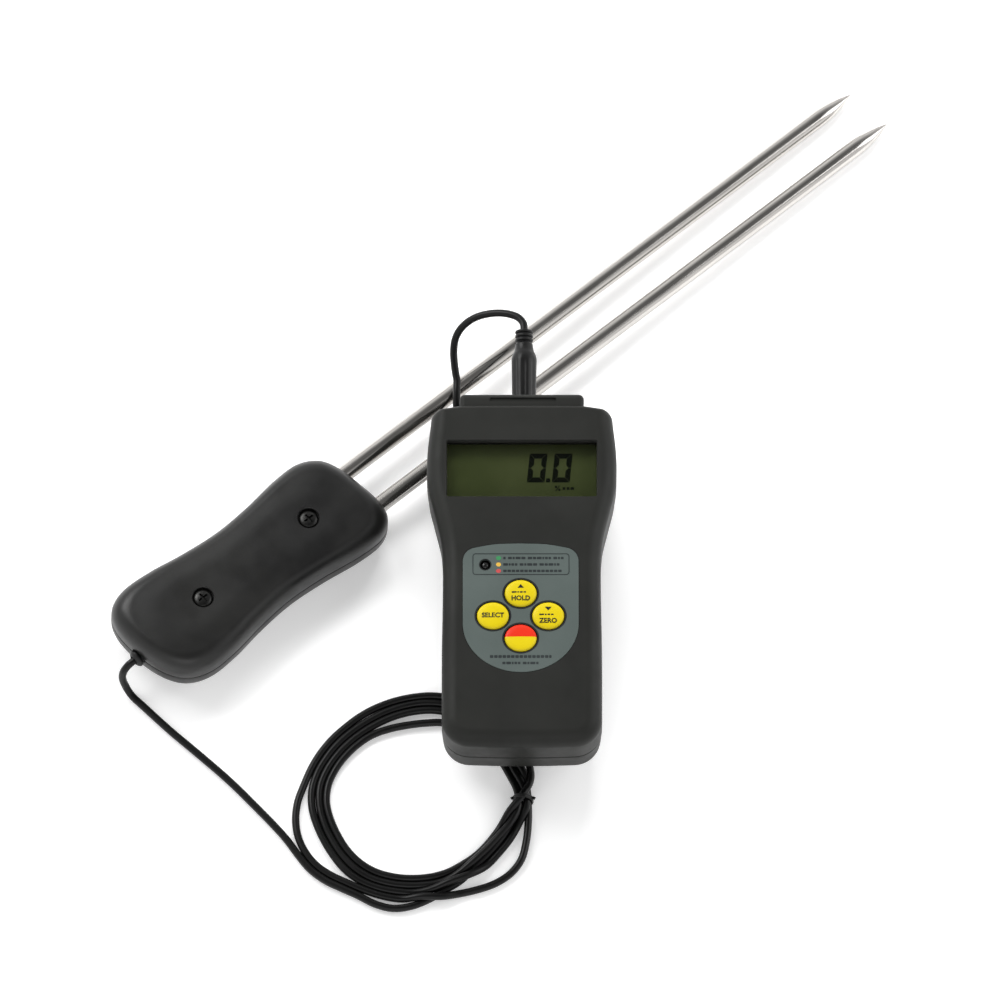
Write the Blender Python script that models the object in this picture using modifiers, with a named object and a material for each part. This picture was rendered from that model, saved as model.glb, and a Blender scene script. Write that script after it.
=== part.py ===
"""Soil moisture meter: a hand-held display unit, a two-needle probe, and the lead that joins them.

Metres, +Z up, +Y from the meter's foot towards its head. The meter lies face up with its head
propped on one probe needle, and its foot over the coiled lead.
"""

import math

import bmesh
import bpy
from mathutils import Euler, Vector

GAP = 0.0003  # air kept between neighbours

# The meter's own frame: x across, y from foot to head, z up from the back to the face.
METER_PLACE = (0.0068, -0.0623, 0.01038)
METER_PITCH = math.radians(2.9)
METER_DEPTH = 0.0300
FOOT_Y = -0.0628
HEAD_Y = 0.0590
FOOT_HALF = 0.0271
SEAM_Z = 0.0138
WALL = 0.0022
FACE_ROUND = 0.0054
BACK_ROUND = 0.0045

BLOCK_HALF = 0.0211
BLOCK_Y = (0.0520, 0.0630)
BLOCK_Z = (0.0045, 0.0283)
SOCKET_X = 0.0008
SOCKET_Z = 0.0155
SOCKET_BORE = 0.0032

WINDOW_Y = 0.0355
WINDOW_HALF = (0.0254, 0.0099)

LABEL_X = -0.0004
LABEL_HALF = 0.0196
LABEL_TOP = 0.0085
LABEL_WAIST = -0.0200
LABEL_FOOT = -0.0374
LABEL_SINK = 0.0004

KEY_RADIUS = 0.0048
KEY_STRETCH = 1.125
KEY_TRAVEL = 0.0006
KEYS = {
    "key_hold": (-0.0004, -0.0094),
    "key_select": (-0.0098, -0.0174),
    "key_zero": (0.0089, -0.0174),
    "key_power": (-0.0004, -0.0253),
}
LED_PLACE = (-0.0124, 0.0009)

DOOR_HALF = 0.0212
DOOR_HEAD = -0.0083
DOOR_THICK = 0.0016
BATTERY_RADIUS = 0.00515
BATTERY_LENGTH = 0.0445
BATTERY_PITCH = 0.0106
BATTERY_Z = 0.0078
CASE_SCREWS = ((-0.0240, 0.0512), (0.0240, 0.0512), (-0.0212, -0.0015), (0.0212, -0.0015))

# The probe's own frame: x along the needles from the handle's front face, z up.
PROBE_PLACE = (-0.0488, -0.0244, 0.01072)
PROBE_TURN = math.radians(39.7)
PROBE_DIP = math.radians(2.08)
NEEDLE_RADIUS = 0.0030
NEEDLE_OUT = 0.2279
NEEDLE_POINT = 0.0150
NEEDLE_Y = 0.0082
NEEDLE_TAIL = -0.0235
HANDLE_HALF_DEPTH = 0.0105
HANDLE_SHIFT = 0.0005  # the outline sits this much left of the needles' middle
HANDLE_SKEW = 0.16  # how far the handle's ends lean forward on its right side
HANDLE_SCREWS = (-0.0222, -0.0686)
# Half-widths of the handle from its front face to its rear end.
HANDLE_SIDE = (
    (0.0006, 0.0090),
    (-0.0018, 0.0154),
    (-0.0080, 0.0192),
    (-0.0180, 0.0194),
    (-0.0320, 0.0176),
    (-0.0460, 0.0168),
    (-0.0600, 0.0180),
    (-0.0730, 0.0200),
    (-0.0840, 0.0203),
    (-0.0915, 0.0172),
    (-0.0955, 0.0105),
)
HANDLE_ENDS = (0.0010, -0.0968)

# The lead. Route points are world coordinates.
CORD_RADIUS = 0.0013
COIL_CENTRE = (-0.0304, -0.1338)
COIL_RADII = (0.0300, 0.0398)
COIL_HEIGHT = 0.0059
PROBE_RUN = (
    (-0.1146, -0.0792, 0.0138),
    (-0.1200, -0.0836, 0.0142),
    (-0.1246, -0.0874, 0.0143),
    (-0.1267, -0.0890, 0.0136),
    (-0.1281, -0.0902, 0.0118),
    (-0.1287, -0.0910, 0.0092),
    (-0.1285, -0.0918, 0.0065),
    (-0.1277, -0.0928, 0.0041),
    (-0.1265, -0.0943, 0.0023),
    (-0.1248, -0.0962, 0.0015),
    (-0.1218, -0.0990, 0.0013),
    (-0.1126, -0.1079, 0.0013),
    (-0.1024, -0.1170, 0.0013),
    (-0.0921, -0.1265, 0.0013),
    (-0.0819, -0.1372, 0.0013),
    (-0.0768, -0.1428, 0.0013),
    (-0.0717, -0.1486, 0.0013),
    (-0.0681, -0.1528, 0.0013),
)
METER_RUN = (
    (0.0078, -0.1164, 0.0013),
    (0.0056, -0.1095, 0.0013),
    (0.0035, -0.1010, 0.0013),
    (0.0012, -0.0900, 0.0013),
    (-0.0012, -0.0780, 0.0013),
    (-0.0036, -0.0660, 0.0013),
    (-0.0060, -0.0540, 0.0013),
    (-0.0084, -0.0420, 0.0013),
    (-0.0106, -0.0310, 0.0013),
    (-0.0127, -0.0210, 0.0013),
    (-0.0142, -0.0130, 0.0014),
    (-0.0146, -0.0090, 0.0015),
    (-0.0149, -0.0055, 0.0024),
    (-0.0151, -0.0023, 0.0042),
    (-0.0153, 0.0008, 0.0070),
    (-0.0154, 0.0040, 0.0102),
    (-0.0154, 0.0075, 0.0128),
    (-0.0154, 0.0113, 0.0140),
    (-0.0153, 0.0145, 0.0143),
)
LOOP_RUN = (
    (-0.0153, 0.0149, 0.0144),
    (-0.0157, 0.0174, 0.0149),
    (-0.0162, 0.0210, 0.0158),
    (-0.0164, 0.0250, 0.0172),
    (-0.0159, 0.0284, 0.0191),
    (-0.0143, 0.0311, 0.0211),
    (-0.0117, 0.0331, 0.0231),
    (-0.0084, 0.0343, 0.0250),
    (-0.0047, 0.0347, 0.0266),
    (-0.0011, 0.0345, 0.0279),
    (0.0024, 0.0337, 0.0289),
    (0.0055, 0.0322, 0.0296),
    (0.0073, 0.0299, 0.0299),
    (0.0076, 0.0272, 0.0299),
)
PLUG_BARREL = 0.0220
PLUG_COLLAR = 0.0044
PLUG_RADIUS = 0.0044

PARTS = bpy.data.collections.new("soil_moisture_meter")
CUTTERS = bpy.data.collections.new("cutters")


def clear_scene():
    for old in list(bpy.data.objects):
        bpy.data.objects.remove(old, do_unlink=True)
    for collection in (PARTS, CUTTERS):
        bpy.context.scene.collection.children.link(collection)


def material(name, colour, roughness, metallic=0.0):
    made = bpy.data.materials.new(name)
    made.use_nodes = True
    shader = made.node_tree.nodes["Principled BSDF"]
    shader.inputs["Base Color"].default_value = (*colour, 1.0)
    shader.inputs["Roughness"].default_value = roughness
    shader.inputs["Metallic"].default_value = metallic
    return made


def frame_empty(name, place, rotation):
    empty = bpy.data.objects.new(name, None)
    empty.location = place
    empty.rotation_euler = rotation
    PARTS.objects.link(empty)
    return empty


def add_object(name, data, parent, place=(0, 0, 0), look=None):
    obj = bpy.data.objects.new(name, data)
    obj.parent = parent
    obj.location = place
    if look is None:
        obj.hide_render = True
        obj.display_type = "WIRE"
        CUTTERS.objects.link(obj)
    else:
        obj.data.materials.append(look)
        PARTS.objects.link(obj)
    return obj


def to_object(name, bm, parent, place=(0, 0, 0), look=None, smooth=35):
    bmesh.ops.recalc_face_normals(bm, faces=bm.faces)
    mesh = bpy.data.meshes.new(name)
    bm.to_mesh(mesh)
    bm.free()
    mesh.shade_smooth()
    mesh.set_sharp_from_angle(angle=math.radians(smooth))
    return add_object(name, mesh, parent, place, look)


def box(name, low, high, parent, look=None, bevel=0.0):
    """A box between two corners, with its origin at its centre."""
    size = Vector(high) - Vector(low)
    bm = bmesh.new()
    bmesh.ops.create_cube(bm, size=1.0)
    bmesh.ops.scale(bm, vec=size, verts=bm.verts)
    if bevel:
        bmesh.ops.bevel(
            bm, geom=bm.edges[:], offset=bevel, offset_type="OFFSET", segments=2, profile=0.5, affect="EDGES"
        )
    centre = (Vector(low) + Vector(high)) / 2
    return to_object(name, bm, parent, centre, look)


AXIS_TURNS = {"X": Euler((0, math.pi / 2, 0)), "Y": Euler((-math.pi / 2, 0, 0)), "Z": Euler((0, 0, 0))}


def cylinder(name, radius, low, high, parent, look=None, axis="Z", at=(0, 0, 0), sides=24):
    """A cylinder along an axis, from low to high on it, whose axis passes through the point at."""
    bm = bmesh.new()
    bmesh.ops.create_cone(
        bm, cap_ends=True, segments=sides, radius1=radius, radius2=radius, depth=high - low
    )
    bmesh.ops.rotate(bm, matrix=AXIS_TURNS[axis].to_matrix(), verts=bm.verts)
    place = Vector(at)
    place["XYZ".index(axis)] = (low + high) / 2
    return to_object(name, bm, parent, place, look)


def turned(name, profile, parent, look=None, axis="Z", at=(0, 0, 0), sides=24):
    """A turned solid: profile holds (radius, height) from the top end down to the bottom end."""
    mesh = bpy.data.meshes.new(name)
    points = [(radius, 0, height) for radius, height in profile]
    mesh.from_pydata(points, [(i, i + 1) for i in range(len(points) - 1)], [])
    obj = add_object(name, mesh, parent, at, look)
    obj.rotation_euler = AXIS_TURNS[axis]
    screw = obj.modifiers.new("turn", "SCREW")
    screw.steps = sides
    screw.render_steps = sides
    screw.use_merge_vertices = True
    screw.merge_threshold = 0.00001
    screw.use_smooth_shade = True
    return obj


def arc(centre, radii, start, end, steps):
    """Points on an arc of an ellipse, from start to end in degrees, both included."""
    angles = [math.radians(start + (end - start) * i / steps) for i in range(steps + 1)]
    return [(centre[0] + radii[0] * math.cos(a), centre[1] + radii[1] * math.sin(a)) for a in angles]


def smooth_curve(points, steps, closed=False):
    """Catmull-Rom curve through the points, with this many steps between two of them."""
    points = [Vector(p) for p in points]
    count = len(points)
    spans = count if closed else count - 1
    made = []
    for i in range(spans):
        if closed:
            p0, p1, p2, p3 = (points[(i + k) % count] for k in (-1, 0, 1, 2))
        else:
            p0, p1, p2, p3 = (points[min(max(i + k, 0), count - 1)] for k in (-1, 0, 1, 2))
        for j in range(steps):
            t = j / steps
            square = 2 * p0 - 5 * p1 + 4 * p2 - p3
            cube = 3 * p1 - p0 - 3 * p2 + p3
            made.append(p1 + ((p2 - p0) * t + square * t**2 + cube * t**3) / 2)
    if not closed:
        made.append(points[-1])
    return made


def mirrored(side):
    """A closed outline from its right half, listed from the bottom of the axis to its top."""
    return list(side) + [(-x, y) for x, y in reversed(side) if x > 1e-6]


def inset(outline, distance):
    """The anticlockwise outline moved inwards by this distance."""
    made = []
    for i, point in enumerate(outline):
        before = Vector(outline[i - 1])
        after = Vector(outline[(i + 1) % len(outline)])
        here = Vector(point)
        first = (here - before).normalized()
        second = (after - here).normalized()
        normal = Vector((-(first.y + second.y), first.x + second.x)).normalized()
        reach = distance / max(normal.dot(Vector((-first.y, first.x))), 0.5)
        made.append(here + normal * reach)
    return made


def layered(name, outline, layers, parent, look=None, place=(0, 0, 0)):
    """A loft through copies of one outline: layers holds (inset, height) from one cap to the other."""
    bm = bmesh.new()
    rings = [[bm.verts.new((p[0], p[1], z)) for p in inset(outline, d)] for d, z in layers]
    for low, high in zip(rings, rings[1:]):
        for i in range(len(low)):
            j = (i + 1) % len(low)
            bm.faces.new((low[i], low[j], high[j], high[i]))
    bm.faces.new(reversed(rings[0]))
    bm.faces.new(rings[-1])
    return to_object(name, bm, parent, place, look)


def rounding(inset_end, z_start, width, height, steps=3):
    """(inset, height) layers of a quarter round that ends inset_end inside the outline."""
    turns = [math.pi / 2 * i / steps for i in range(steps + 1)]
    return [(inset_end - width * math.cos(a), z_start + height * math.sin(a)) for a in turns]


def tube(name, points, radius, parent, look, sides_resolution=2):
    curve = bpy.data.curves.new(name, "CURVE")
    curve.dimensions = "3D"
    curve.bevel_depth = radius
    curve.bevel_resolution = sides_resolution
    curve.use_fill_caps = True
    spline = curve.splines.new("POLY")
    spline.points.add(len(points) - 1)
    for target, point in zip(spline.points, points):
        target.co = (*point, 1.0)
    return add_object(name, curve, parent, (0, 0, 0), look)


def boolean(obj, other, operation="DIFFERENCE"):
    modifier = obj.modifiers.new(other.name, "BOOLEAN")
    modifier.operation = operation
    modifier.object = other


# ---------------------------------------------------------------- the meter's outlines


def meter_outline():
    foot = [(0, FOOT_Y), (0.0085, FOOT_Y + 0.0001)]
    foot_corner = arc((FOOT_HALF - 0.0095, FOOT_Y + 0.0099), (0.0095, 0.0095), -88, -2, 5)
    side = smooth_curve(
        [
            (FOOT_HALF, -0.0505),
            (FOOT_HALF, -0.0300),
            (0.0268, -0.0100),
            (0.0268, 0.0030),
            (0.0277, 0.0120),
            (0.0298, 0.0210),
            (0.0317, 0.0290),
            (0.0322, 0.0360),
            (0.0319, 0.0440),
            (0.0311, 0.0510),
        ],
        1,
    )
    head_corner = arc((0.0249, HEAD_Y - 0.0067), (0.0058, 0.0058), 8, 82, 4)
    head = [(0.0210, HEAD_Y - 0.0001), (0.0120, HEAD_Y), (0, HEAD_Y)]
    return mirrored(foot + foot_corner + [tuple(p) for p in side] + head_corner + head)


def label_outline(grow=0.0):
    bowl = arc((0, LABEL_WAIST), (LABEL_HALF, LABEL_WAIST - LABEL_FOOT), -90, 0, 8)
    corner = arc((LABEL_HALF - 0.0050, 0.0021), (0.0050, 0.0050), 0, 72, 4)
    crown = [(0.0085, 0.0082), (0, LABEL_TOP)]
    return [(p[0] + LABEL_X, p[1]) for p in inset(mirrored(bowl + corner + crown), -grow)]


def handle_outline():
    rear, front = (HANDLE_ENDS[1], 0.0), (HANDLE_ENDS[0], 0.0)
    lower = [(x, -half) for x, half in reversed(HANDLE_SIDE)]
    upper = [(x, half) for x, half in HANDLE_SIDE]
    square = smooth_curve([rear] + lower + [front] + upper, 2, closed=True)
    return [(p.x - HANDLE_SKEW * p.y, p.y + HANDLE_SHIFT) for p in square]


# ---------------------------------------------------------------- the meter's casings


def front_layers():
    inner = [(0.0045, METER_DEPTH - 0.0020), (0.0027, METER_DEPTH - 0.0042), (WALL, SEAM_Z + GAP / 2)]
    outer = [(0.0001, SEAM_Z + GAP / 2), (0.0, SEAM_Z + 0.0030)]
    crown = rounding(FACE_ROUND, METER_DEPTH - FACE_ROUND, 0.0051, FACE_ROUND)
    return inner + outer + crown


def rear_layers(solid=False):
    inner = [(0.0042, 0.0020), (0.0029, 0.0036), (WALL + 0.0002, SEAM_Z - GAP / 2)]
    outer = [(0.0001, SEAM_Z - GAP / 2), (0.0004, BACK_ROUND + 0.0010)]
    crown = [(d, 2 * BACK_ROUND - z) for d, z in rounding(0.0050, BACK_ROUND, 0.0045, BACK_ROUND)]
    return (outer if solid else inner + outer) + crown


def socket_notch(meter):
    low = (-BLOCK_HALF - GAP, BLOCK_Y[0] - GAP, BLOCK_Z[0] - GAP)
    return box("notch_cut", low, (BLOCK_HALF + GAP, 0.080, BLOCK_Z[1] + GAP), meter)


def front_case(meter, look, notch):
    case = layered("front_case", meter_outline(), front_layers(), meter, look)
    for i, (x, y) in enumerate(CASE_SCREWS):
        post = cylinder(f"front_post_{i}", 0.0031, SEAM_Z + 0.0004, 0.0287, meter, at=(x, y, 0), sides=16)
        boolean(case, post, "UNION")
    for i, (x, y) in enumerate(CASE_SCREWS):
        hole = cylinder(f"front_pilot_{i}", 0.0016, 0.0100, 0.0210, meter, at=(x, y, 0), sides=12)
        boolean(case, hole)
    boolean(case, notch)
    half_x, half_y = WINDOW_HALF
    low = (-half_x, WINDOW_Y - half_y, 0.0270)
    boolean(case, box("window_cut", low, (half_x, WINDOW_Y + half_y, 0.0320), meter))
    sink = METER_DEPTH - LABEL_SINK - GAP
    recess = [(0.0, sink), (0.0, METER_DEPTH + 0.0010)]
    boolean(case, layered("label_cut", label_outline(GAP), recess, meter))
    for cutter in face_holes(meter):
        boolean(case, cutter)
    return case


def face_holes(meter):
    """Cutters for the four keys and the status lamp, shared by the case and the label."""
    if "key_power_cut" not in bpy.data.objects:
        for name, (x, y) in KEYS.items():
            hole = cylinder(f"{name}_cut", KEY_RADIUS + GAP, 0.0260, 0.0320, meter, at=(x, y, 0), sides=20)
            hole.scale.x = KEY_STRETCH
        cylinder("lamp_cut", 0.0018, 0.0260, 0.0320, meter, at=(*LED_PLACE, 0), sides=16)
    return [bpy.data.objects[f"{name}_cut"] for name in (*KEYS, "lamp")]


def rear_case(meter, look, notch):
    case = layered("rear_case", meter_outline(), rear_layers(), meter, look)
    for i, (x, y) in enumerate(CASE_SCREWS):
        post = cylinder(f"rear_post_{i}", 0.0036, 0.0010, SEAM_Z - 0.0004, meter, at=(x, y, 0), sides=16)
        boolean(case, post, "UNION")
    for i, (x, y) in enumerate(CASE_SCREWS):
        hole = cylinder(f"rear_hole_{i}", 0.0016, -0.0010, 0.0200, meter, at=(x, y, 0), sides=12)
        recess = cylinder(f"rear_recess_{i}", 0.0029, -0.0010, 0.0033, meter, at=(x, y, 0), sides=16)
        boolean(case, hole)
        boolean(case, recess)
    boolean(case, notch)
    low = (-DOOR_HALF - GAP, -0.0750, -0.0010)
    boolean(case, box("bay_cut", low, (DOOR_HALF + GAP, DOOR_HEAD + GAP, DOOR_THICK + GAP), meter))
    bay_low = (-DOOR_HALF - GAP, FOOT_Y + 0.0060, 0.0010)
    boolean(case, box("bay_floor_cut", bay_low, (DOOR_HALF + GAP, DOOR_HEAD + GAP, 0.0030), meter))
    return case


def battery_door(meter, look):
    low, high = (-DOOR_HALF, FOOT_Y, 0.0), (DOOR_HALF, DOOR_HEAD, DOOR_THICK)
    door = box("battery_door", low, high, meter, look)
    body = layered("door_shape", meter_outline(), rear_layers(solid=True), meter)
    boolean(door, body, "INTERSECT")
    for i in range(3):
        y = -0.0140 - 0.0022 * i
        grip = box(f"door_grip_{i}", (-0.0070, y, -0.0010), (0.0070, y + 0.0012, 0.0005), meter)
        boolean(door, grip)
    return door


def end_block(meter, look):
    low = (-BLOCK_HALF, BLOCK_Y[0], BLOCK_Z[0])
    block = box("end_block", low, (BLOCK_HALF, BLOCK_Y[1], BLOCK_Z[1]), meter, look, bevel=0.0016)
    at = (SOCKET_X, 0, SOCKET_Z)
    boolean(block, cylinder("socket_cut", 0.0061, 0.0450, 0.0700, meter, axis="Y", at=at))
    return block


def connector_socket(meter, look):
    """Its axis is y: the mouth faces the head end and the back is closed."""
    back, mouth = 0.0500, BLOCK_Y[1] - 0.0002
    profile = [
        (0.0, back + 0.0020),
        (SOCKET_BORE, back + 0.0020),
        (SOCKET_BORE, mouth),
        (0.0054, mouth),
        (0.0058, mouth - 0.0004),
        (0.0058, back),
        (0.0, back),
    ]
    return turned("connector_socket", profile, meter, look, "Y", (SOCKET_X, 0, SOCKET_Z))


# ---------------------------------------------------------------- display, label and keys


def display(meter, looks):
    y = WINDOW_Y
    low, high = (-0.0258, y - 0.0110, 0.0263), (0.0258, y + 0.0110, 0.0277)
    box("display_window", low, high, meter, looks["clear"])
    low, high = (-0.0268, y - 0.0122, 0.0253), (0.0268, y + 0.0122, 0.0260)
    frame = box("lcd_frame", low, high, meter, looks["black"])
    low, high = (-0.0256, y - 0.0101, 0.0240), (0.0256, y + 0.0101, 0.0270)
    boolean(frame, box("lcd_frame_cut", low, high, meter))
    low, high = (-0.0268, y - 0.0122, 0.0220), (0.0268, y + 0.0122, 0.0250)
    box("lcd_module", low, high, meter, looks["lcd"])


def label_plate(meter, look):
    bottom = METER_DEPTH - LABEL_SINK
    plate = layered("label_plate", label_outline(), [(0.0, bottom), (0.0, METER_DEPTH + 0.0001)], meter, look)
    for cutter in face_holes(meter):
        boolean(plate, cutter)


def keys(meter, looks):
    flange = KEY_RADIUS + 0.0009
    profile = [
        (0.0, 0.0308),
        (0.0030, 0.0307),
        (0.0044, 0.0304),
        (KEY_RADIUS, 0.0300),
        (KEY_RADIUS, 0.0275),
        (flange, 0.0275),
        (flange, 0.0267),
        (0.0, 0.0267),
    ]
    for name, (x, y) in KEYS.items():
        look = looks["red" if name == "key_power" else "yellow"]
        key = turned(name, profile, meter, look, "Z", (x, y, 0), 20)
        key.scale.x = KEY_STRETCH


def electronics(meter, looks):
    mat_top = 0.0267 - KEY_TRAVEL - GAP
    box("keypad_mat", (-0.0160, -0.0300, 0.0246), (0.0160, -0.0020, mat_top), meter, looks["black"])
    box("main_board", (-0.0178, -0.0360, 0.0200), (0.0178, 0.0500, 0.0216), meter, looks["board"])
    box("processor_chip", (0.0030, 0.0060, 0.0219), (0.0130, 0.0160, 0.0234), meter, looks["black"])
    cylinder("buzzer", 0.0055, 0.0219, 0.0265, meter, looks["black"], at=(-0.0050, 0.0130, 0))
    lamp = [(0.0, 0.0297), (0.0009, 0.0294), (0.0015, 0.0285), (0.0015, 0.0219), (0.0, 0.0219)]
    turned("status_led", lamp, meter, looks["lamp"], at=(*LED_PLACE, 0), sides=16)
    box("battery_tray", (-0.0230, -0.0560, 0.0138), (0.0230, -0.0060, 0.0148), meter, looks["black"])


def batteries(meter, looks):
    """Four cells side by side, every second one turned round, with a spring at each flat end."""
    half = BATTERY_LENGTH / 2
    strip_half, strip_z = 0.0190, (0.0042, 0.0120)
    foot_strip, head_strip = FOOT_Y + 0.0050, DOOR_HEAD - 0.0004
    for name, y in (("contact_strip_foot", foot_strip), ("contact_strip_head", head_strip)):
        low = (-strip_half, y - 0.0002, strip_z[0])
        box(name, low, (strip_half, y + 0.0002, strip_z[1]), meter, looks["spring"])
    for i in range(4):
        x = (i - 1.5) * BATTERY_PITCH
        way = 1 if i % 2 == 0 else -1
        nub_stop = (head_strip if way > 0 else foot_strip) - way * 0.0006
        middle = nub_stop - way * half
        profile = [
            (0.0, half),
            (0.0018, half),
            (0.0018, half - 0.0009),
            (0.0046, half - 0.0009),
            (BATTERY_RADIUS, half - 0.0016),
            (BATTERY_RADIUS, 0.0006 - half),
            (BATTERY_RADIUS - 0.0006, -half),
            (0.0, -half),
        ]
        cell = turned(f"battery_{i + 1}", profile, meter, looks["battery"], "Y", (x, middle, BATTERY_Z))
        cell.rotation_euler.x *= way
        start = middle - way * (half + 0.0006)
        stop = (foot_strip if way > 0 else head_strip) + way * 0.0008
        spring_coil(f"battery_spring_{i + 1}", (x, BATTERY_Z), start, stop, meter, looks["spring"])


def spring_coil(name, centre, start, stop, meter, look):
    turns, per_turn, wire = 2.5, 8, 0.00025
    count = int(turns * per_turn)
    points = []
    for k in range(count + 1):
        angle = 2 * math.pi * k / per_turn
        radius = 0.0022 + 0.0014 * k / count
        y = start + (stop - start) * k / count
        points.append((centre[0] + radius * math.cos(angle), y, centre[1] + radius * math.sin(angle)))
    tube(name, points, wire, meter, look, 1)


def case_screws(meter, look):
    shank = [(0.0, 0.0190), (0.0013, 0.0186), (0.0013, 0.0029)]
    head = [(0.0026, 0.0029), (0.0026, 0.0011), (0.0, 0.0011)]
    for i, (x, y) in enumerate(CASE_SCREWS):
        turned(f"case_screw_{i + 1}", shank + head, meter, look, at=(x, y, 0), sides=16)


# ---------------------------------------------------------------- the probe


def shell_layers(way):
    """Layers of a handle shell from its inner cap to its outer one; way is 1 above the seam, -1 below."""
    inner = [(0.0075, 0.0086), (0.0042, 0.0078), (0.0028, 0.0050), (0.0025, GAP / 2)]
    outer = [(0.0, GAP / 2)]
    crown = rounding(0.0083, 0.0030, 0.0080, 0.0072, 4)
    cap = [(0.0105, HANDLE_HALF_DEPTH)]
    return [(d, way * z) for d, z in inner + outer + crown + cap]


def handle_shell(name, way, probe, look):
    shell = layered(name, handle_outline(), shell_layers(way), probe, look)
    for i, x in enumerate(HANDLE_SCREWS):
        low, high = sorted((way * 0.0004, way * 0.0095))
        post = cylinder(f"{name}_post_{i}", 0.0042, low, high, probe, at=(x, 0, 0), sides=20)
        boolean(shell, post, "UNION")
    for i, x in enumerate(HANDLE_SCREWS):
        low, high = sorted((-way * 0.0010, way * 0.0140))
        if way < 0:
            low = -0.0070
        at = (x, 0, 0)
        boolean(shell, cylinder(f"{name}_hole_{i}", 0.0018, low, high, probe, at=at, sides=16))
        if way > 0:
            boolean(shell, cylinder(f"{name}_sink_{i}", 0.0037, 0.0084, 0.0140, probe, at=at))
    bore = NEEDLE_RADIUS + GAP
    for i, y in enumerate((-NEEDLE_Y, NEEDLE_Y)):
        at = (0, y, 0)
        boolean(shell, cylinder(f"{name}_needle_{i}", bore, -0.0060, 0.0080, probe, axis="X", at=at))
    exit_cut = cylinder(f"{name}_exit", 0.0028, -0.1040, -0.0900, probe, axis="X", sides=20)
    boolean(shell, exit_cut)


def needles(probe, look):
    steps = 7
    profile = [(0.0, NEEDLE_OUT)]
    for i in range(1, steps + 1):
        t = i / steps
        radius = NEEDLE_RADIUS * math.sin(math.pi / 2 * t) ** 0.85
        profile.append((radius, NEEDLE_OUT - NEEDLE_POINT * t))
    profile += [(NEEDLE_RADIUS, NEEDLE_TAIL), (0.0, NEEDLE_TAIL)]
    for name, y in (("needle_right", -NEEDLE_Y), ("needle_left", NEEDLE_Y)):
        turned(name, profile, probe, look, "X", (-HANDLE_SKEW * y, y, 0), 20)


def probe_inside(probe, looks):
    low, high = (-0.0172, -0.0128, -0.0054), (-0.0060, 0.0128, 0.0054)
    block = box("needle_block", low, high, probe, looks["ivory"])
    for side, sign in (("right", -1), ("left", 1)):
        y = sign * NEEDLE_Y
        at = (0, y, 0)
        bore = cylinder(f"needle_bore_{side}", NEEDLE_RADIUS + GAP, -0.0300, 0.0010, probe, None, "X", at)
        boolean(block, bore)
        nut = cylinder(f"needle_nut_{side}", 0.0042, -0.0206, -0.0175, probe, looks["screw"], "X", at, 6)
        boolean(nut, bore)
        lug_ends = (-0.0217, -0.0209)
        lug = cylinder(f"terminal_lug_{side}", 0.0038, *lug_ends, probe, looks["spring"], "X", at, 20)
        boolean(lug, bore)
        wire = [
            (-0.0256, y + sign * 0.0008, 0.0),
            (-0.0300, sign * 0.0098, -0.0008),
            (-0.0420, sign * 0.0080, -0.0012),
            (-0.0560, sign * 0.0072, -0.0012),
            (-0.0680, sign * 0.0068, -0.0010),
            (-0.0760, sign * 0.0045, -0.0004),
            (-0.0807, sign * 0.0020, 0.0),
        ]
        look = looks["red" if sign > 0 else "black"]
        tube(f"lead_wire_{side}", smooth_curve(wire, 2), 0.0006, probe, look)
    box("cord_anchor", (-0.0850, -0.0055, -0.0035), (-0.0810, 0.0055, 0.0035), probe, looks["black"])
    grommet = [
        (0.0017, -0.0900),
        (0.0042, -0.0900),
        (0.0042, -0.0912),
        (0.0025, -0.0912),
        (0.0025, -0.0972),
        (0.0032, -0.0976),
        (0.0029, -0.0984),
        (0.0024, -0.0988),
        (0.0017, -0.0988),
        (0.0017, -0.0900),
    ]
    turned("cord_grommet", grommet, probe, looks["rubber"], "X", sides=20)


def handle_screws(probe, look):
    profile = [(0.0, 0.0100), (0.0020, 0.0099), (0.0033, 0.0092), (0.0033, 0.0087), (0.0015, 0.0087)]
    profile += [(0.0015, -0.0060), (0.0, -0.0060)]
    for name, x in zip(("handle_screw_front", "handle_screw_rear"), HANDLE_SCREWS):
        screw = turned(name, profile, probe, look, at=(x, 0, 0), sides=20)
        for i, (half_x, half_y) in enumerate(((0.0018, 0.0004), (0.0004, 0.0018))):
            low = (x - half_x, -half_y, 0.0091)
            boolean(screw, box(f"{name}_slot_{i}", low, (x + half_x, half_y, 0.0120), probe))


# ---------------------------------------------------------------- the lead and its plug


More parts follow.
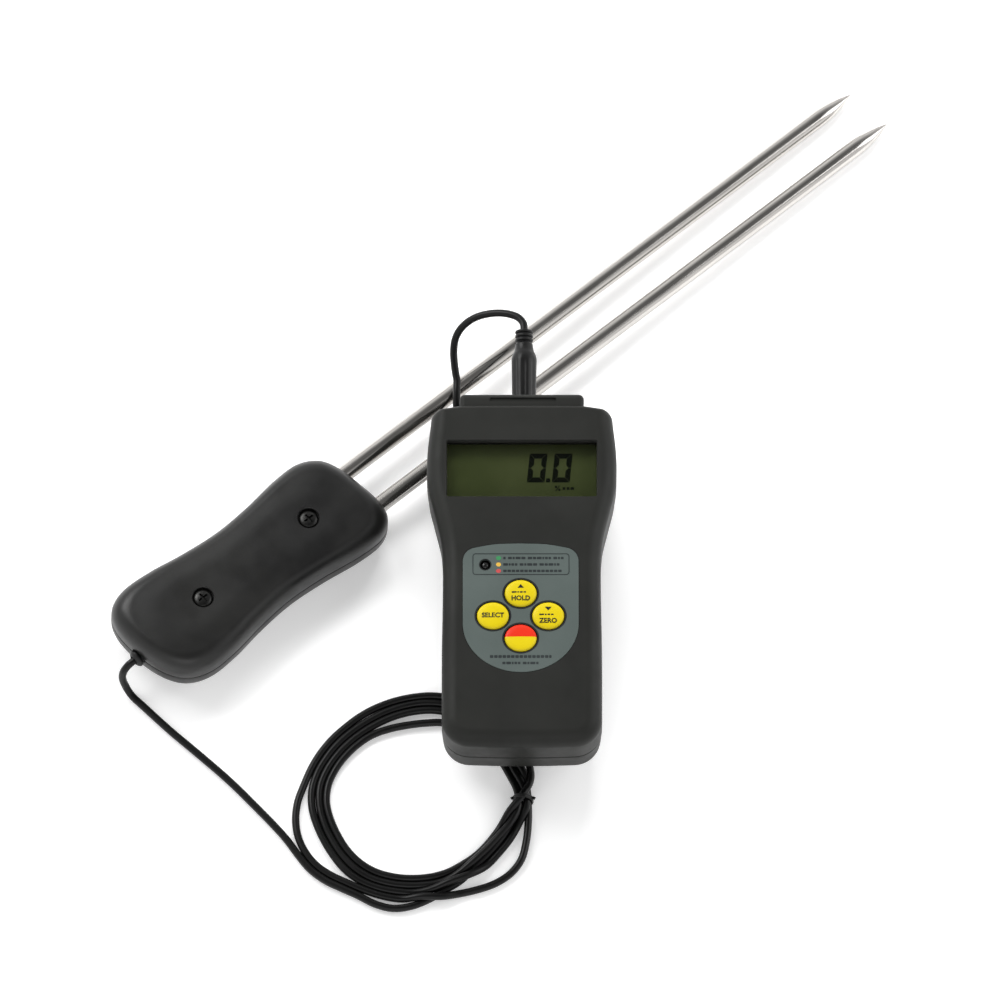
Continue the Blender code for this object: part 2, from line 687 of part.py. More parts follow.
def lead(looks):
    tube("cord_probe_run", smooth_curve(PROBE_RUN, 3), CORD_RADIUS, None, looks["cord"])
    tube("cord_meter_run", smooth_curve(METER_RUN, 2), CORD_RADIUS, None, looks["cord"])
    tube("cord_loop", smooth_curve(LOOP_RUN, 2), CORD_RADIUS, None, looks["cord"])
    inner, outer = COIL_RADII
    middle, half = (inner + outer) / 2, (outer - inner) / 2
    section = [(middle, COIL_HEIGHT), (outer - half * 0.45, COIL_HEIGHT), (outer, COIL_HEIGHT * 0.6)]
    section += [(outer, COIL_HEIGHT * 0.25), (outer - half * 0.4, 0.0), (inner + half * 0.4, 0.0)]
    section += [(inner, COIL_HEIGHT * 0.25), (inner, COIL_HEIGHT * 0.6), (inner + half * 0.45, COIL_HEIGHT)]
    section += [(middle, COIL_HEIGHT)]
    turned("cord_coil", section, None, looks["cord"], at=(*COIL_CENTRE, 0), sides=44)
    x0, y0 = COIL_CENTRE
    tie = box(
        "cord_tie",
        (x0 + inner - 0.0009, y0 - 0.0015, 0.0001),
        (x0 + outer + 0.0009, y0 + 0.0015, COIL_HEIGHT + 0.0010),
        None,
        looks["cord"],
    )
    low = (x0 + inner - GAP, y0 - 0.0030, -0.0010)
    boolean(tie, box("tie_cut", low, (x0 + outer + GAP, y0 + 0.0030, COIL_HEIGHT + GAP), None))


def plug(meter, looks):
    at = (SOCKET_X, 0, SOCKET_Z)
    face = BLOCK_Y[1] + GAP
    end = face + PLUG_BARREL
    barrel = [
        (0.0, end),
        (0.0026, end),
        (0.0034, end - 0.0008),
        (PLUG_RADIUS - 0.0002, end - 0.0028),
        (PLUG_RADIUS, end - 0.0060),
        (PLUG_RADIUS, face + 0.0006),
        (PLUG_RADIUS - 0.0004, face),
        (0.0, face),
    ]
    turned("plug_body", barrel, meter, looks["rubber"], "Y", at)
    collar = end + GAP
    relief = [(0.0, collar + PLUG_COLLAR), (0.0020, collar + PLUG_COLLAR)]
    for ring in (2, 1, 0):
        base = collar + PLUG_COLLAR * ring / 3
        relief += [(0.0029, base + 0.0012), (0.0029, base + 0.0006), (0.0024, base + 0.0003)]
    relief += [(0.0024, collar), (0.0, collar)]
    turned("plug_collar", relief, meter, looks["rubber"], "Y", at)
    pin = [(0.0, face - GAP), (0.0028, face - GAP), (0.0028, 0.0544), (0.0024, 0.0540), (0.0, 0.0540)]
    turned("plug_pin", pin, meter, looks["screw"], "Y", at)


def main():
    clear_scene()
    looks = {
        "case": material("case_grey", (0.055, 0.056, 0.053), 0.48),
        "black": material("black_plastic", (0.012, 0.012, 0.012), 0.45),
        "rubber": material("black_rubber", (0.014, 0.014, 0.015), 0.55),
        "cord": material("cord_black", (0.012, 0.012, 0.013), 0.42),
        "label": material("label_teal", (0.115, 0.150, 0.150), 0.40),
        "yellow": material("key_yellow", (0.80, 0.60, 0.02), 0.45),
        "red": material("key_red", (0.72, 0.05, 0.02), 0.45),
        "lcd": material("lcd_olive", (0.055, 0.062, 0.035), 0.30),
        "clear": material("clear_window", (0.60, 0.64, 0.58), 0.05),
        "lamp": material("lamp_dark", (0.03, 0.03, 0.03), 0.20),
        "board": material("board_green", (0.02, 0.15, 0.06), 0.50),
        "ivory": material("ivory_insulator", (0.65, 0.62, 0.52), 0.50),
        "battery": material("battery_jacket", (0.05, 0.10, 0.25), 0.30),
        "spring": material("nickel_contact", (0.62, 0.60, 0.56), 0.30, 1.0),
        "screw": material("screw_steel", (0.42, 0.41, 0.39), 0.35, 1.0),
        "needle": material("needle_steel", (0.62, 0.60, 0.58), 0.18, 1.0),
    }
    meter = frame_empty("meter_frame", METER_PLACE, (METER_PITCH, 0, 0))
    probe = frame_empty("probe_frame", PROBE_PLACE, (0, PROBE_DIP, PROBE_TURN))
    notch = socket_notch(meter)
    front_case(meter, looks["case"], notch)
    rear_case(meter, looks["case"], notch)
    battery_door(meter, looks["case"])
    end_block(meter, looks["case"])
    connector_socket(meter, looks["black"])
    display(meter, looks)
    label_plate(meter, looks["label"])
    keys(meter, looks)
    electronics(meter, looks)
    batteries(meter, looks)
    case_screws(meter, looks["screw"])
    handle_shell("handle_upper_shell", 1, probe, looks["black"])
    handle_shell("handle_lower_shell", -1, probe, looks["black"])
    needles(probe, looks["needle"])
    probe_inside(probe, looks)
    handle_screws(probe, looks["screw"])
    lead(looks)
    plug(meter, looks)


main()
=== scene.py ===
"""Looks of the soil moisture meter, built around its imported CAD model.

Metres, in the CAD's frame: +Z up, +Y from the meter's foot towards its head. The meter and the
probe each have a frame of their own, and their pieces are made in it and then placed.
"""

import math

import bmesh
import bpy
from mathutils import Euler, Matrix, Vector


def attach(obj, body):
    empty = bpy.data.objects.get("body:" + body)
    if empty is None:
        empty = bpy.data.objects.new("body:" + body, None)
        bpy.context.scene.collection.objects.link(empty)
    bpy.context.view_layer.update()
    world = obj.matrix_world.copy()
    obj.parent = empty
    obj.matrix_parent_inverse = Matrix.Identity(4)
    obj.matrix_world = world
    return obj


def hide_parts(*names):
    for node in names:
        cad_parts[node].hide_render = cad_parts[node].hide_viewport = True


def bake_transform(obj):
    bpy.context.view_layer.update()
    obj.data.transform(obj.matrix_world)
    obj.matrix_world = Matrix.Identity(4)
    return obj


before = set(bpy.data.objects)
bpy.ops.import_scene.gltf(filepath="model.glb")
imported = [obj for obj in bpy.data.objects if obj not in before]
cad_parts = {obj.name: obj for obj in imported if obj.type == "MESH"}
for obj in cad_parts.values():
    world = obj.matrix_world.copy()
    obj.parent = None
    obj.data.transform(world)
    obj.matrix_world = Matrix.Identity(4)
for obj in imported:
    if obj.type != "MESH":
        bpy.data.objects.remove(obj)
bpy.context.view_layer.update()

GAP = 0.0003

# The meter's own frame: x across, y from foot to head, z up from the back to the face.
METER_PLACE = (0.0068, -0.0623, 0.01038)
METER_PITCH = math.radians(2.9)
METER = Matrix.Translation(METER_PLACE) @ Matrix.Rotation(METER_PITCH, 4, "X")
METER_DEPTH = 0.0300
FOOT_Y = -0.0628
HEAD_Y = 0.0590
FOOT_HALF = 0.0271
SEAM_Z = 0.0138
WALL = 0.0022
FACE_ROUND = 0.0054
HEAD_SHARE = 0.35
BACK_ROUND = 0.0045
BACK_INSET = 0.0050
BLOCK_HALF = 0.0211
BLOCK_Y = (0.0520, 0.0630)
BLOCK_Z = (0.0045, 0.0283)
SOCKET_X = 0.0008
SOCKET_Z = 0.0155
SOCKET_BORE = 0.0061
SLOT = (0.0113, 0.0007, 0.0005, (0.0004, 0.0608))
SLOT_DEPTH = 0.0007
WINDOW_Y = 0.0355
WINDOW_HALF = (0.0254, 0.0099)
OPENING_RADIUS = 0.0009
FACE_CUT_Z = (0.0240, METER_DEPTH + 0.0020)
LCD_HALF = (0.0268, 0.0122)
LCD_Z = (0.0220, 0.0250)
BEZEL_Z = (0.0253, 0.0260)
LENS_Z = (0.0263, 0.0277)
FIGURE_Z = (LCD_Z[1] + 0.00004, LCD_Z[1] + 0.00010)
FIGURE_SIZE = (0.0060, 0.0103)
FIGURE_BAR = 0.00175
FIGURE_SLANT = 0.10
FIGURE_LEFTS = (0.0017, 0.0102)
FIGURE_FOOT = 0.0321
LABEL_X = -0.0004
LABEL_HALF = 0.0196
LABEL_TOP = 0.0085
LABEL_WAIST = -0.0200
LABEL_FOOT = -0.0374
LABEL_Z = (METER_DEPTH - 0.0004, METER_DEPTH + 0.0001)
PRINT_Z = (LABEL_Z[1] - 0.00002, LABEL_Z[1] + 0.00003)
INK_THICK = 0.00003
FOOT_ROWS = ((-0.0108, 0.0100, -0.0319, 0.00100, 5), (-0.0066, 0.0056, -0.0342, 0.00085, 8))
LEGEND_LEFTS = (-0.0079, -0.0063)
LEGEND_ROWS = (
    ("green", 0.00325, 0.0141, 3),
    ("amber", 0.00095, 0.0133, 4),
    ("red", -0.00135, 0.0137, 5),
)
KEY_RADIUS = 0.0048
KEY_STRETCH = 1.125
KEYS = {
    "key_hold": (-0.0004, -0.0094),
    "key_select": (-0.0098, -0.0174),
    "key_zero": (0.0089, -0.0174),
    "key_power": (-0.0004, -0.0253),
}
KEY_CROWN = ((0.0, 0.03082), (0.0016, 0.03080), (0.0030, 0.03073), (0.0040, 0.03060), (0.0044, 0.03045))
KEY_SPLIT = 0.0003
WORD_SIZE = 0.0023
LED_PLACE = (-0.0124, 0.0009)
LED_HOLE = 0.0018
LED_RIM = 0.0021
DOOR_HALF = 0.0212
DOOR_HEAD = -0.0083
DOOR_THICK = 0.0016
DOOR_GRIPS = 5
GRIP_HEAD = -0.0134
GRIP_PITCH = 0.0020
SCREW_SHANK = 0.0016
SCREW_POST = 0.0036
SCREW_RECESS = 0.0029
CASE_SCREWS = ((-0.0240, 0.0512), (0.0240, 0.0512), (-0.0212, -0.0015), (0.0212, -0.0015))

# The probe's own frame: x along the needles from the handle's front face, z up.
PROBE_PLACE = (-0.0488, -0.0244, 0.01072)
PROBE_TURN = math.radians(39.7)
PROBE_DIP = math.radians(2.08)
PROBE = Matrix.Translation(PROBE_PLACE) @ Euler((0, PROBE_DIP, PROBE_TURN)).to_matrix().to_4x4()
NEEDLE_RADIUS = 0.0030
NEEDLE_OUT = 0.2279
NEEDLE_POINT = 0.0150
NEEDLE_Y = 0.0082
NEEDLE_TAIL = -0.0235
POINT_STEPS = 28
HANDLE_HALF_DEPTH = 0.0105
HANDLE_SHIFT = 0.0005
HANDLE_SKEW = 0.16
HANDLE_CROWN_Z = 0.0030
HANDLE_CROWN = 0.0068
HANDLE_POST = 0.0047
HANDLE_HOLE = 0.0018
LEAD_HOLE = 0.0028
HANDLE_SCREWS = (-0.0222, -0.0686)
HANDLE_SIDE = (
    (0.0006, 0.0090), (-0.0018, 0.0154), (-0.0080, 0.0192), (-0.0180, 0.0194),
    (-0.0320, 0.0176), (-0.0460, 0.0168), (-0.0600, 0.0180), (-0.0730, 0.0200),
    (-0.0840, 0.0203), (-0.0915, 0.0172), (-0.0955, 0.0105),
)
HANDLE_ENDS = (0.0010, -0.0968)

# The lead, from the handle through its coil and under the meter to the plug. The runs hold its
# route in tenths of a millimetre. A point with no height lies on the floor.
CORD_RADIUS = 0.0013
COIL_CENTRE = (-0.0304, -0.1338)
TIE_RADIUS = 0.0376
RUN_UNITS = 10000
PROBE_RUN = (
    (-1146, -792, 138), (-1200, -836, 142), (-1246, -874, 143), (-1267, -890, 136), (-1281, -902, 118),
    (-1287, -910, 92), (-1285, -918, 65), (-1277, -928, 41), (-1265, -943, 23), (-1248, -962, 15),
    (-1218, -990), (-1126, -1079), (-1024, -1170), (-921, -1265), (-819, -1372), (-768, -1428),
)
COIL_RUN = (
    (-727, -1477), (-690, -1530), (-650, -1581), (-599, -1622), (-542, -1651), (-485, -1678),
    (-429, -1708), (-368, -1724), (-306, -1716), (-246, -1691), (-190, -1657), (-136, -1621),
    (-92, -1574), (-48, -1529), (-7, -1480), (27, -1426), (52, -1369), (60, -1310), (60, -1245),
    (52, -1181), (29, -1122), (-9, -1069), (-58, -1025), (-113, -989), (-172, -963), (-235, -953),
    (-299, -958), (-362, -972), (-422, -995), (-477, -1026), (-528, -1066), (-575, -1111),
    (-615, -1163), (-646, -1218), (-670, -1277), (-691, -1338), (-698, -1401), (-690, -1463),
    (-665, -1521), (-627, -1569), (-577, -1605), (-520, -1633), (-463, -1659), (-401, -1680),
    (-336, -1690), (-273, -1687, 30), (-204, -1686, 28), (-143, -1671), (-81, -1656), (-22, -1634),
    (30, -1598), (66, -1548), (82, -1487), (89, -1423), (90, -1359), (86, -1298), (72, -1235, 33),
    (36, -1174, 34), (-1, -1116, 21), (-43, -1070), (-91, -1031), (-146, -1001), (-208, -982),
    (-272, -980), (-334, -991), (-395, -1012), (-452, -1043), (-505, -1080), (-552, -1123),
    (-591, -1172), (-624, -1230), (-643, -1294), (-643, -1358), (-627, -1420), (-601, -1480),
    (-568, -1536), (-528, -1586), (-477, -1625), (-418, -1650), (-356, -1663), (-295, -1667),
    (-235, -1657, 23), (-174, -1633, 34), (-110, -1609, 34), (-55, -1573, 15), (-11, -1525),
    (28, -1473), (59, -1415, 15), (85, -1353, 38), (70, -1286, 36), (41, -1224, 27), (16, -1171),
    (-24, -1123), (-70, -1079), (-121, -1042), (-177, -1015), (-237, -1005), (-300, -1010),
    (-361, -1026), (-418, -1052), (-472, -1086), (-522, -1128), (-565, -1177), (-598, -1232),
    (-617, -1290), (-617, -1353), (-602, -1416), (-576, -1475), (-542, -1530), (-499, -1577),
    (-447, -1612), (-389, -1632), (-328, -1641), (-264, -1640), (-202, -1628), (-147, -1600, 20),
    (-97, -1560, 33), (-51, -1516, 35), (-9, -1469, 36), (31, -1420, 37), (57, -1363, 37),
    (52, -1305, 35), (29, -1246, 14), (0, -1193), (-37, -1145), (-83, -1102), (-137, -1069),
    (-197, -1051), (-259, -1052), (-322, -1060), (-384, -1074), (-441, -1096), (-489, -1130),
    (-532, -1174), (-566, -1224), (-589, -1280), (-594, -1341), (-581, -1400), (-557, -1457),
    (-526, -1510), (-484, -1556), (-432, -1590), (-373, -1609), (-311, -1616), (-248, -1612),
    (-190, -1597), (-136, -1568), (-85, -1531), (-42, -1484), (-6, -1433, 15), (28, -1380, 42),
    (72, -1329, 62), (97, -1270, 39), (94, -1209, 15), (74, -1149), (55, -1088),
)
METER_RUN = (
    (35, -1010), (12, -900), (-12, -780), (-36, -660), (-60, -540), (-84, -420), (-106, -310),
    (-127, -210), (-142, -130, 14), (-146, -90, 15), (-149, -55, 24), (-151, -23, 42), (-153, 8, 70),
    (-154, 40, 102), (-154, 75, 128), (-154, 113, 140),
)
LOOP_RUN = (
    (-153, 149, 144), (-157, 174, 149), (-162, 210, 158), (-164, 250, 172), (-159, 284, 191),
    (-143, 311, 211), (-117, 331, 231), (-84, 343, 250), (-47, 347, 266), (-11, 345, 279),
    (24, 337, 289), (55, 322, 296), (73, 299, 299), (76, 272, 300), (76, 255, 301),
)
PLUG_FACE = BLOCK_Y[1] + GAP
PLUG_BARREL = 0.0220
PLUG_COLLAR = 0.0044
PLUG_RIBS = 8
RIB_DEPTH = 0.00030
TIE_WIRE = 0.0005
TIE_TURNS = 2

# Camera and stage.
CAMERA_TARGET = Vector((-0.0006, -0.0230, 0.0))
CAMERA_ELEVATION = math.radians(68)
CAMERA_DISTANCE = 6.0
CAMERA_LENS = 633.0
FLOOR_GLOW = 0.30
WINDOW_IOR = 1.18


# ---- material nodes


def add(tree, kind, inputs=None, **settings):
    """A node with its settings, and its inputs linked from a socket or set to a value."""
    node = tree.nodes.new(kind)
    for key, value in settings.items():
        setattr(node, key, value)
    for key, value in (inputs or {}).items():
        if isinstance(value, bpy.types.NodeSocket):
            tree.links.new(value, node.inputs[key])
        else:
            node.inputs[key].default_value = value
    return node


def object_coordinates(tree, stretch=(1, 1, 1)):
    place = add(tree, "ShaderNodeTexCoord").outputs["Object"]
    return add(tree, "ShaderNodeMapping", {"Vector": place, "Scale": stretch}).outputs["Vector"]


def noise(tree, where, scale, detail=3.0, rough=0.55):
    inputs = {"Vector": where, "Scale": scale, "Detail": detail, "Roughness": rough}
    return add(tree, "ShaderNodeTexNoise", inputs).outputs["Fac"]


def ramp(tree, value, stops):
    """Colours by value: stops holds (position, colour)."""
    node = add(tree, "ShaderNodeValToRGB", {"Fac": value})
    elements = node.color_ramp.elements
    while len(elements) < len(stops):
        elements.new(0.5)
    for element, (position, colour) in zip(elements, stops):
        element.position = position
        element.color = (*colour, 1.0)
    return node.outputs["Color"]


def spread(tree, value, low, high):
    """The middle of a noise, 0.3 to 0.7, mapped to low and high."""
    inputs = {"Value": value, "From Min": 0.3, "From Max": 0.7, "To Min": low, "To Max": high}
    return add(tree, "ShaderNodeMapRange", inputs).outputs["Result"]


def bump(tree, height, distance, strength=1.0):
    inputs = {"Height": height, "Distance": distance, "Strength": strength}
    return add(tree, "ShaderNodeBump", inputs).outputs["Normal"]


def new_material(name, **constants):
    made = bpy.data.materials.new(name)
    made.use_nodes = True
    shader = made.node_tree.nodes["Principled BSDF"]
    for key, value in constants.items():
        shader.inputs[key.replace("_", " ")].default_value = value
    return made, made.node_tree, shader


def grey(level):
    return (level, level, level)


def moulded(name, dark, light, rough, specular=0.5, grain=2600, grain_height=0.00002, patch=45):
    """Moulded plastic or rubber: a spark-eroded grain, faint colour patches and uneven gloss."""
    made, tree, shader = new_material(name, Specular_IOR_Level=specular)
    where = object_coordinates(tree)
    patches = noise(tree, where, patch)
    fine = noise(tree, where, grain, 2.0)
    tree.links.new(ramp(tree, patches, ((0.35, dark), (0.65, light))), shader.inputs["Base Color"])
    tree.links.new(spread(tree, noise(tree, where, patch * 2.3), *rough), shader.inputs["Roughness"])
    tree.links.new(bump(tree, fine, grain_height, 0.6), shader.inputs["Normal"])
    return made


def metal(name, dark, light, rough, stretch=(1, 1, 1), lines=900):
    """Drawn, turned or plated metal: fine lines along the stretched axis and uneven polish."""
    made, tree, shader = new_material(name, Metallic=1.0)
    where = object_coordinates(tree, stretch)
    streaks = noise(tree, where, lines, 3.0, 0.6)
    smudge = noise(tree, object_coordinates(tree), 60)
    tree.links.new(ramp(tree, streaks, ((0.3, dark), (0.7, light))), shader.inputs["Base Color"])
    tree.links.new(spread(tree, smudge, *rough), shader.inputs["Roughness"])
    tree.links.new(bump(tree, streaks, 0.000004, 0.5), shader.inputs["Normal"])
    return made


def clear_window(name):
    """A clear moulded plate: what is behind it shows, under a thin reflection."""
    made = bpy.data.materials.new(name)
    made.use_nodes = True
    tree = made.node_tree
    tree.nodes.remove(tree.nodes["Principled BSDF"])
    where = object_coordinates(tree)
    rough = spread(tree, noise(tree, where, 80), 0.10, 0.16)
    gloss = add(tree, "ShaderNodeBsdfGlossy", {"Color": (1, 1, 1, 1), "Roughness": rough})
    tints = ((0.3, (0.93, 0.95, 0.92)), (0.7, (0.97, 0.98, 0.96)))
    tint = ramp(tree, noise(tree, where, 30), tints)
    through = add(tree, "ShaderNodeBsdfTransparent", {"Color": tint})
    share = add(tree, "ShaderNodeFresnel", {"IOR": WINDOW_IOR}).outputs["Fac"]
    both = add(tree, "ShaderNodeMixShader", {0: share, 1: through.outputs[0], 2: gloss.outputs[0]})
    tree.links.new(both.outputs[0], tree.nodes["Material Output"].inputs["Surface"])
    return made


def circuit_board(name):
    """Green solder mask with copper tracks under it."""
    made, tree, shader = new_material(name)
    where = object_coordinates(tree)
    colours = {"Color1": (0.010, 0.110, 0.040, 1), "Color2": (0.014, 0.135, 0.050, 1)}
    colours["Mortar"] = (0.030, 0.200, 0.080, 1)
    pattern = {"Vector": where, "Scale": 260.0, "Mortar Size": 0.03, **colours}
    cells = add(tree, "ShaderNodeTexBrick", pattern)
    tree.links.new(cells.outputs["Color"], shader.inputs["Base Color"])
    tree.links.new(spread(tree, noise(tree, where, 150), 0.25, 0.4), shader.inputs["Roughness"])
    tree.links.new(bump(tree, cells.outputs["Fac"], 0.00003), shader.inputs["Normal"])
    return made


def make_looks():
    dull, ink, wire = (0.34, 0.46), (0.35, 0.5), (0.35, 0.5)
    fine, finest = 0.00001, 0.000004
    return {
        "case": moulded("case_grey", (0.0165, 0.0170, 0.0156), (0.0200, 0.0205, 0.0188), (0.42, 0.54), 0.14),
        "handle": moulded(
            "handle_black", grey(0.0060), (0.0125, 0.0125, 0.0118), (0.30, 0.46), 0.38, 1900, 0.00003, 38
        ),
        "black": moulded("inner_black", grey(0.010), grey(0.016), (0.40, 0.55)),
        "rubber": moulded("rubber_black", grey(0.004), grey(0.0065), (0.32, 0.46), 0.30, 2200),
        "cord": moulded("cord_jacket", grey(0.003), grey(0.005), (0.28, 0.40), 0.24, 1500),
        "label": moulded(
            "label_film", (0.075, 0.094, 0.088), (0.084, 0.104, 0.098), (0.34, 0.44), 0.35, 3200, fine
        ),
        "yellow": moulded("key_yellow", (0.60, 0.47, 0.004), (0.66, 0.52, 0.006), dull, 0.25, 3000, fine),
        "red": moulded("key_red", (0.62, 0.022, 0.006), (0.68, 0.028, 0.008), dull, 0.25, 3000, fine),
        "ink": moulded("ink_black", (0.006, 0.007, 0.008), (0.010, 0.011, 0.012), ink, grain=3400),
        "ink_grey": moulded("ink_grey", (0.010, 0.014, 0.015), (0.016, 0.022, 0.023), ink, grain=3400),
        "ink_green": moulded("ink_green", (0.03, 0.20, 0.07), (0.04, 0.25, 0.09), ink, grain=3400),
        "ink_amber": moulded("ink_amber", (0.60, 0.36, 0.05), (0.66, 0.42, 0.07), ink, grain=3400),
        "ink_red": moulded("ink_red", (0.42, 0.05, 0.05), (0.48, 0.07, 0.07), ink, grain=3400),
        "lcd": moulded(
            "lcd_glass", (0.040, 0.048, 0.017), (0.048, 0.056, 0.022), (0.30, 0.36), 0.1, 3600, finest, 60
        ),
        "segment": moulded("lcd_segment", (0.001, 0.002, 0.001), (0.002, 0.003, 0.001), (0.4, 0.5), 0.05),
        "lamp": moulded("lamp_lens", grey(0.004), grey(0.007), (0.22, 0.32), grain_height=0.000005),
        "window": clear_window("window_clear"),
        "board": circuit_board("circuit_board"),
        "ivory": moulded("ivory_insulator", (0.56, 0.53, 0.44), (0.66, 0.63, 0.53), (0.4, 0.55)),
        "jacket": moulded("battery_jacket", (0.035, 0.075, 0.20), (0.05, 0.10, 0.25), (0.2, 0.32)),
        "wire_red": moulded("wire_red", (0.40, 0.02, 0.015), (0.50, 0.03, 0.02), wire),
        "wire_black": moulded("wire_black", grey(0.015), grey(0.022), wire),
        "nickel": metal("nickel_contact", (0.54, 0.52, 0.48), (0.66, 0.64, 0.60), (0.22, 0.38)),
        "zinc": metal("screw_zinc", (0.20, 0.20, 0.19), (0.30, 0.29, 0.28), (0.28, 0.42)),
        "blackened": metal("screw_blackened", grey(0.030), (0.055, 0.055, 0.053), (0.30, 0.44)),
        "steel": metal(
            "needle_steel", (0.50, 0.48, 0.46), (0.62, 0.60, 0.57), (0.10, 0.22), (0.03, 1, 1), 1500
        ),
    }



# ---- shapes


def arc(centre, radii, start, end, steps):
    """Points on an arc of an ellipse, from start to end in degrees, both included."""
    angles = [math.radians(start + (end - start) * i / steps) for i in range(steps + 1)]
    return [(centre[0] + radii[0] * math.cos(a), centre[1] + radii[1] * math.sin(a)) for a in angles]


def smooth_curve(points, steps, closed=False):
    """Catmull-Rom curve through the points, with this many steps between two of them."""
    points = [Vector(p) for p in points]
    count = len(points)
    made = []
    for i in range(count if closed else count - 1):
        near = [(i + k) % count if closed else min(max(i + k, 0), count - 1) for k in (-1, 0, 1, 2)]
        p0, p1, p2, p3 = (points[k] for k in near)
        square = 2 * p0 - 5 * p1 + 4 * p2 - p3
        cube = 3 * p1 - p0 - 3 * p2 + p3
        for j in range(steps):
            t = j / steps
            made.append(p1 + ((p2 - p0) * t + square * t**2 + cube * t**3) / 2)
    if not closed:
        made.append(points[-1])
    return made


def mirrored(side):
    """A closed outline from its right half, listed from the bottom of the axis to its top."""
    return list(side) + [(-x, y) for x, y in reversed(side) if x > 1e-6]


def inset(outline, distance):
    """The anticlockwise outline moved inwards by this distance."""
    made = []
    for i, point in enumerate(outline):
        before, after = Vector(outline[i - 1]), Vector(outline[(i + 1) % len(outline)])
        here = Vector(point)
        first, second = (here - before).normalized(), (after - here).normalized()
        normal = Vector((-(first.y + second.y), first.x + second.x)).normalized()
        reach = distance / max(normal.dot(Vector((-first.y, first.x))), 0.5)
        made.append(here + normal * reach)
    return made


def rounding(inset_end, z_start, radius, steps):
    """(inset, height) layers of a quarter round that ends inset_end inside the outline."""
    turns = [math.pi / 2 * i / steps for i in range(steps + 1)]
    return [(inset_end - radius * math.cos(a), z_start + radius * math.sin(a)) for a in turns]


def rounded_box(half_x, half_y, radius, centre=(0, 0), steps=6):
    """An anticlockwise rectangle with round corners."""
    made = []
    for start, sx, sy in ((-90, 1, -1), (0, 1, 1), (90, -1, 1), (180, -1, -1)):
        corner = (centre[0] + sx * (half_x - radius), centre[1] + sy * (half_y - radius))
        made += arc(corner, (radius, radius), start, start + 90, steps)
    return made


def ellipse(centre, half_x, half_y, steps=64):
    return arc(centre, (half_x, half_y), 0, 360, steps)[:-1]


# ---- objects


def new_object(name, data, place):
    obj = bpy.data.objects.new(name, data)
    obj.matrix_world = place
    bpy.context.scene.collection.objects.link(obj)
    return obj


def to_object(name, bm, place, look, smooth=30):
    bmesh.ops.recalc_face_normals(bm, faces=bm.faces)
    mesh = bpy.data.meshes.new(name)
    bm.to_mesh(mesh)
    bm.free()
    mesh.shade_smooth()
    mesh.set_sharp_from_angle(angle=math.radians(smooth))
    if look is not None:
        mesh.materials.append(look)
    return new_object(name, mesh, place)


def bridge(bm, low, high):
    """Faces between two rings of vertices."""
    for i in range(len(low)):
        j = (i + 1) % len(low)
        bm.faces.new((low[i], low[j], high[j], high[i]))


def loft(name, rings, place, look=None, smooth=30):
    """A skin over rings of (x, y, z) points, with a cap on each end."""
    bm = bmesh.new()
    made = [[bm.verts.new(p) for p in ring] for ring in rings]
    for low, high in zip(made, made[1:]):
        bridge(bm, low, high)
    bm.faces.new(reversed(made[0]))
    bm.faces.new(made[-1])
    return to_object(name, bm, place, look, smooth)


def layered(name, outline, layers, place, look=None, smooth=30, head_share=1.0):
    """A loft through copies of one outline: layers holds (inset, height) from one cap to the other.

    head_share scales how far a layer moves in from the outline's +Y side.
    """
    rings = []
    for distance, z in layers:
        ring = []
        for point, moved in zip(outline, inset(outline, distance)):
            step = moved - Vector(point[:2])
            step.y *= head_share if step.y < 0 and point[1] > 0 else 1.0
            ring.append((point[0] + step.x, point[1] + step.y, z))
        rings.append(ring)
    return loft(name, rings, place, look, smooth)


AXIS_TURNS = {
    "X": Matrix.Rotation(math.pi / 2, 4, "Y"),
    "Y": Matrix.Rotation(-math.pi / 2, 4, "X"),
    "Z": Matrix.Identity(4),
}


def turned(name, profile, place, look=None, axis="Z", at=(0, 0, 0), sides=64, stretch=1.0, smooth=30):
    """A turned solid: profile holds (radius, height) from the top end down to the bottom end."""
    bm = bmesh.new()
    turn = Matrix.Translation(at) @ AXIS_TURNS[axis]
    angles = [2 * math.pi * i / sides for i in range(sides)]
    rings = []
    for radius, height in profile:
        if radius < 1e-7:
            rings.append([bm.verts.new(turn @ Vector((0, 0, height)))] * sides)
            continue
        ring = [(stretch * radius * math.cos(a), radius * math.sin(a), height) for a in angles]
        rings.append([bm.verts.new(turn @ Vector(point)) for point in ring])
    for upper, lower in zip(rings, rings[1:]):
        for i in range(sides):
            j = (i + 1) % sides
            corners = list(dict.fromkeys((upper[i], upper[j], lower[j], lower[i])))
            if len(corners) > 2:
                bm.faces.new(corners)
    return to_object(name, bm, place, look, smooth)


def fillet(profile, size=0.00015, steps=3):
    """A profile with each inner corner rounded by a short curve."""
    made = [profile[0]]
    for before, here, after in zip(profile, profile[1:], profile[2:]):
        b, h, a = Vector(before), Vector(here), Vector(after)
        reach = min(size, (h - b).length * 0.45, (a - h).length * 0.45)
        start = h + (b - h).normalized() * reach
        end = h + (a - h).normalized() * reach
        for i in range(steps + 1):
            t = i / steps
            made.append(tuple(start * (1 - t) ** 2 + h * 2 * t * (1 - t) + end * t**2))
    made.append(profile[-1])
    return made


def cylinder(name, radius, low, high, place, axis="Z", at=(0, 0, 0)):
    middle = Vector(at)
    middle["XYZ".index(axis)] = 0
    profile = [(0, high), (radius, high), (radius, low), (0, low)]
    return turned(name, profile, place, None, axis, middle, 48)


def plate(name, outline, low, high, place, look=None, edge=0.0):
    """A flat piece with one outline, its upper edge rounded by edge."""
    layers = [(0.0, low)]
    layers += rounding(edge, high - edge, edge, 4) if edge else [(0.0, high)]
    return layered(name, outline, layers, place, look)


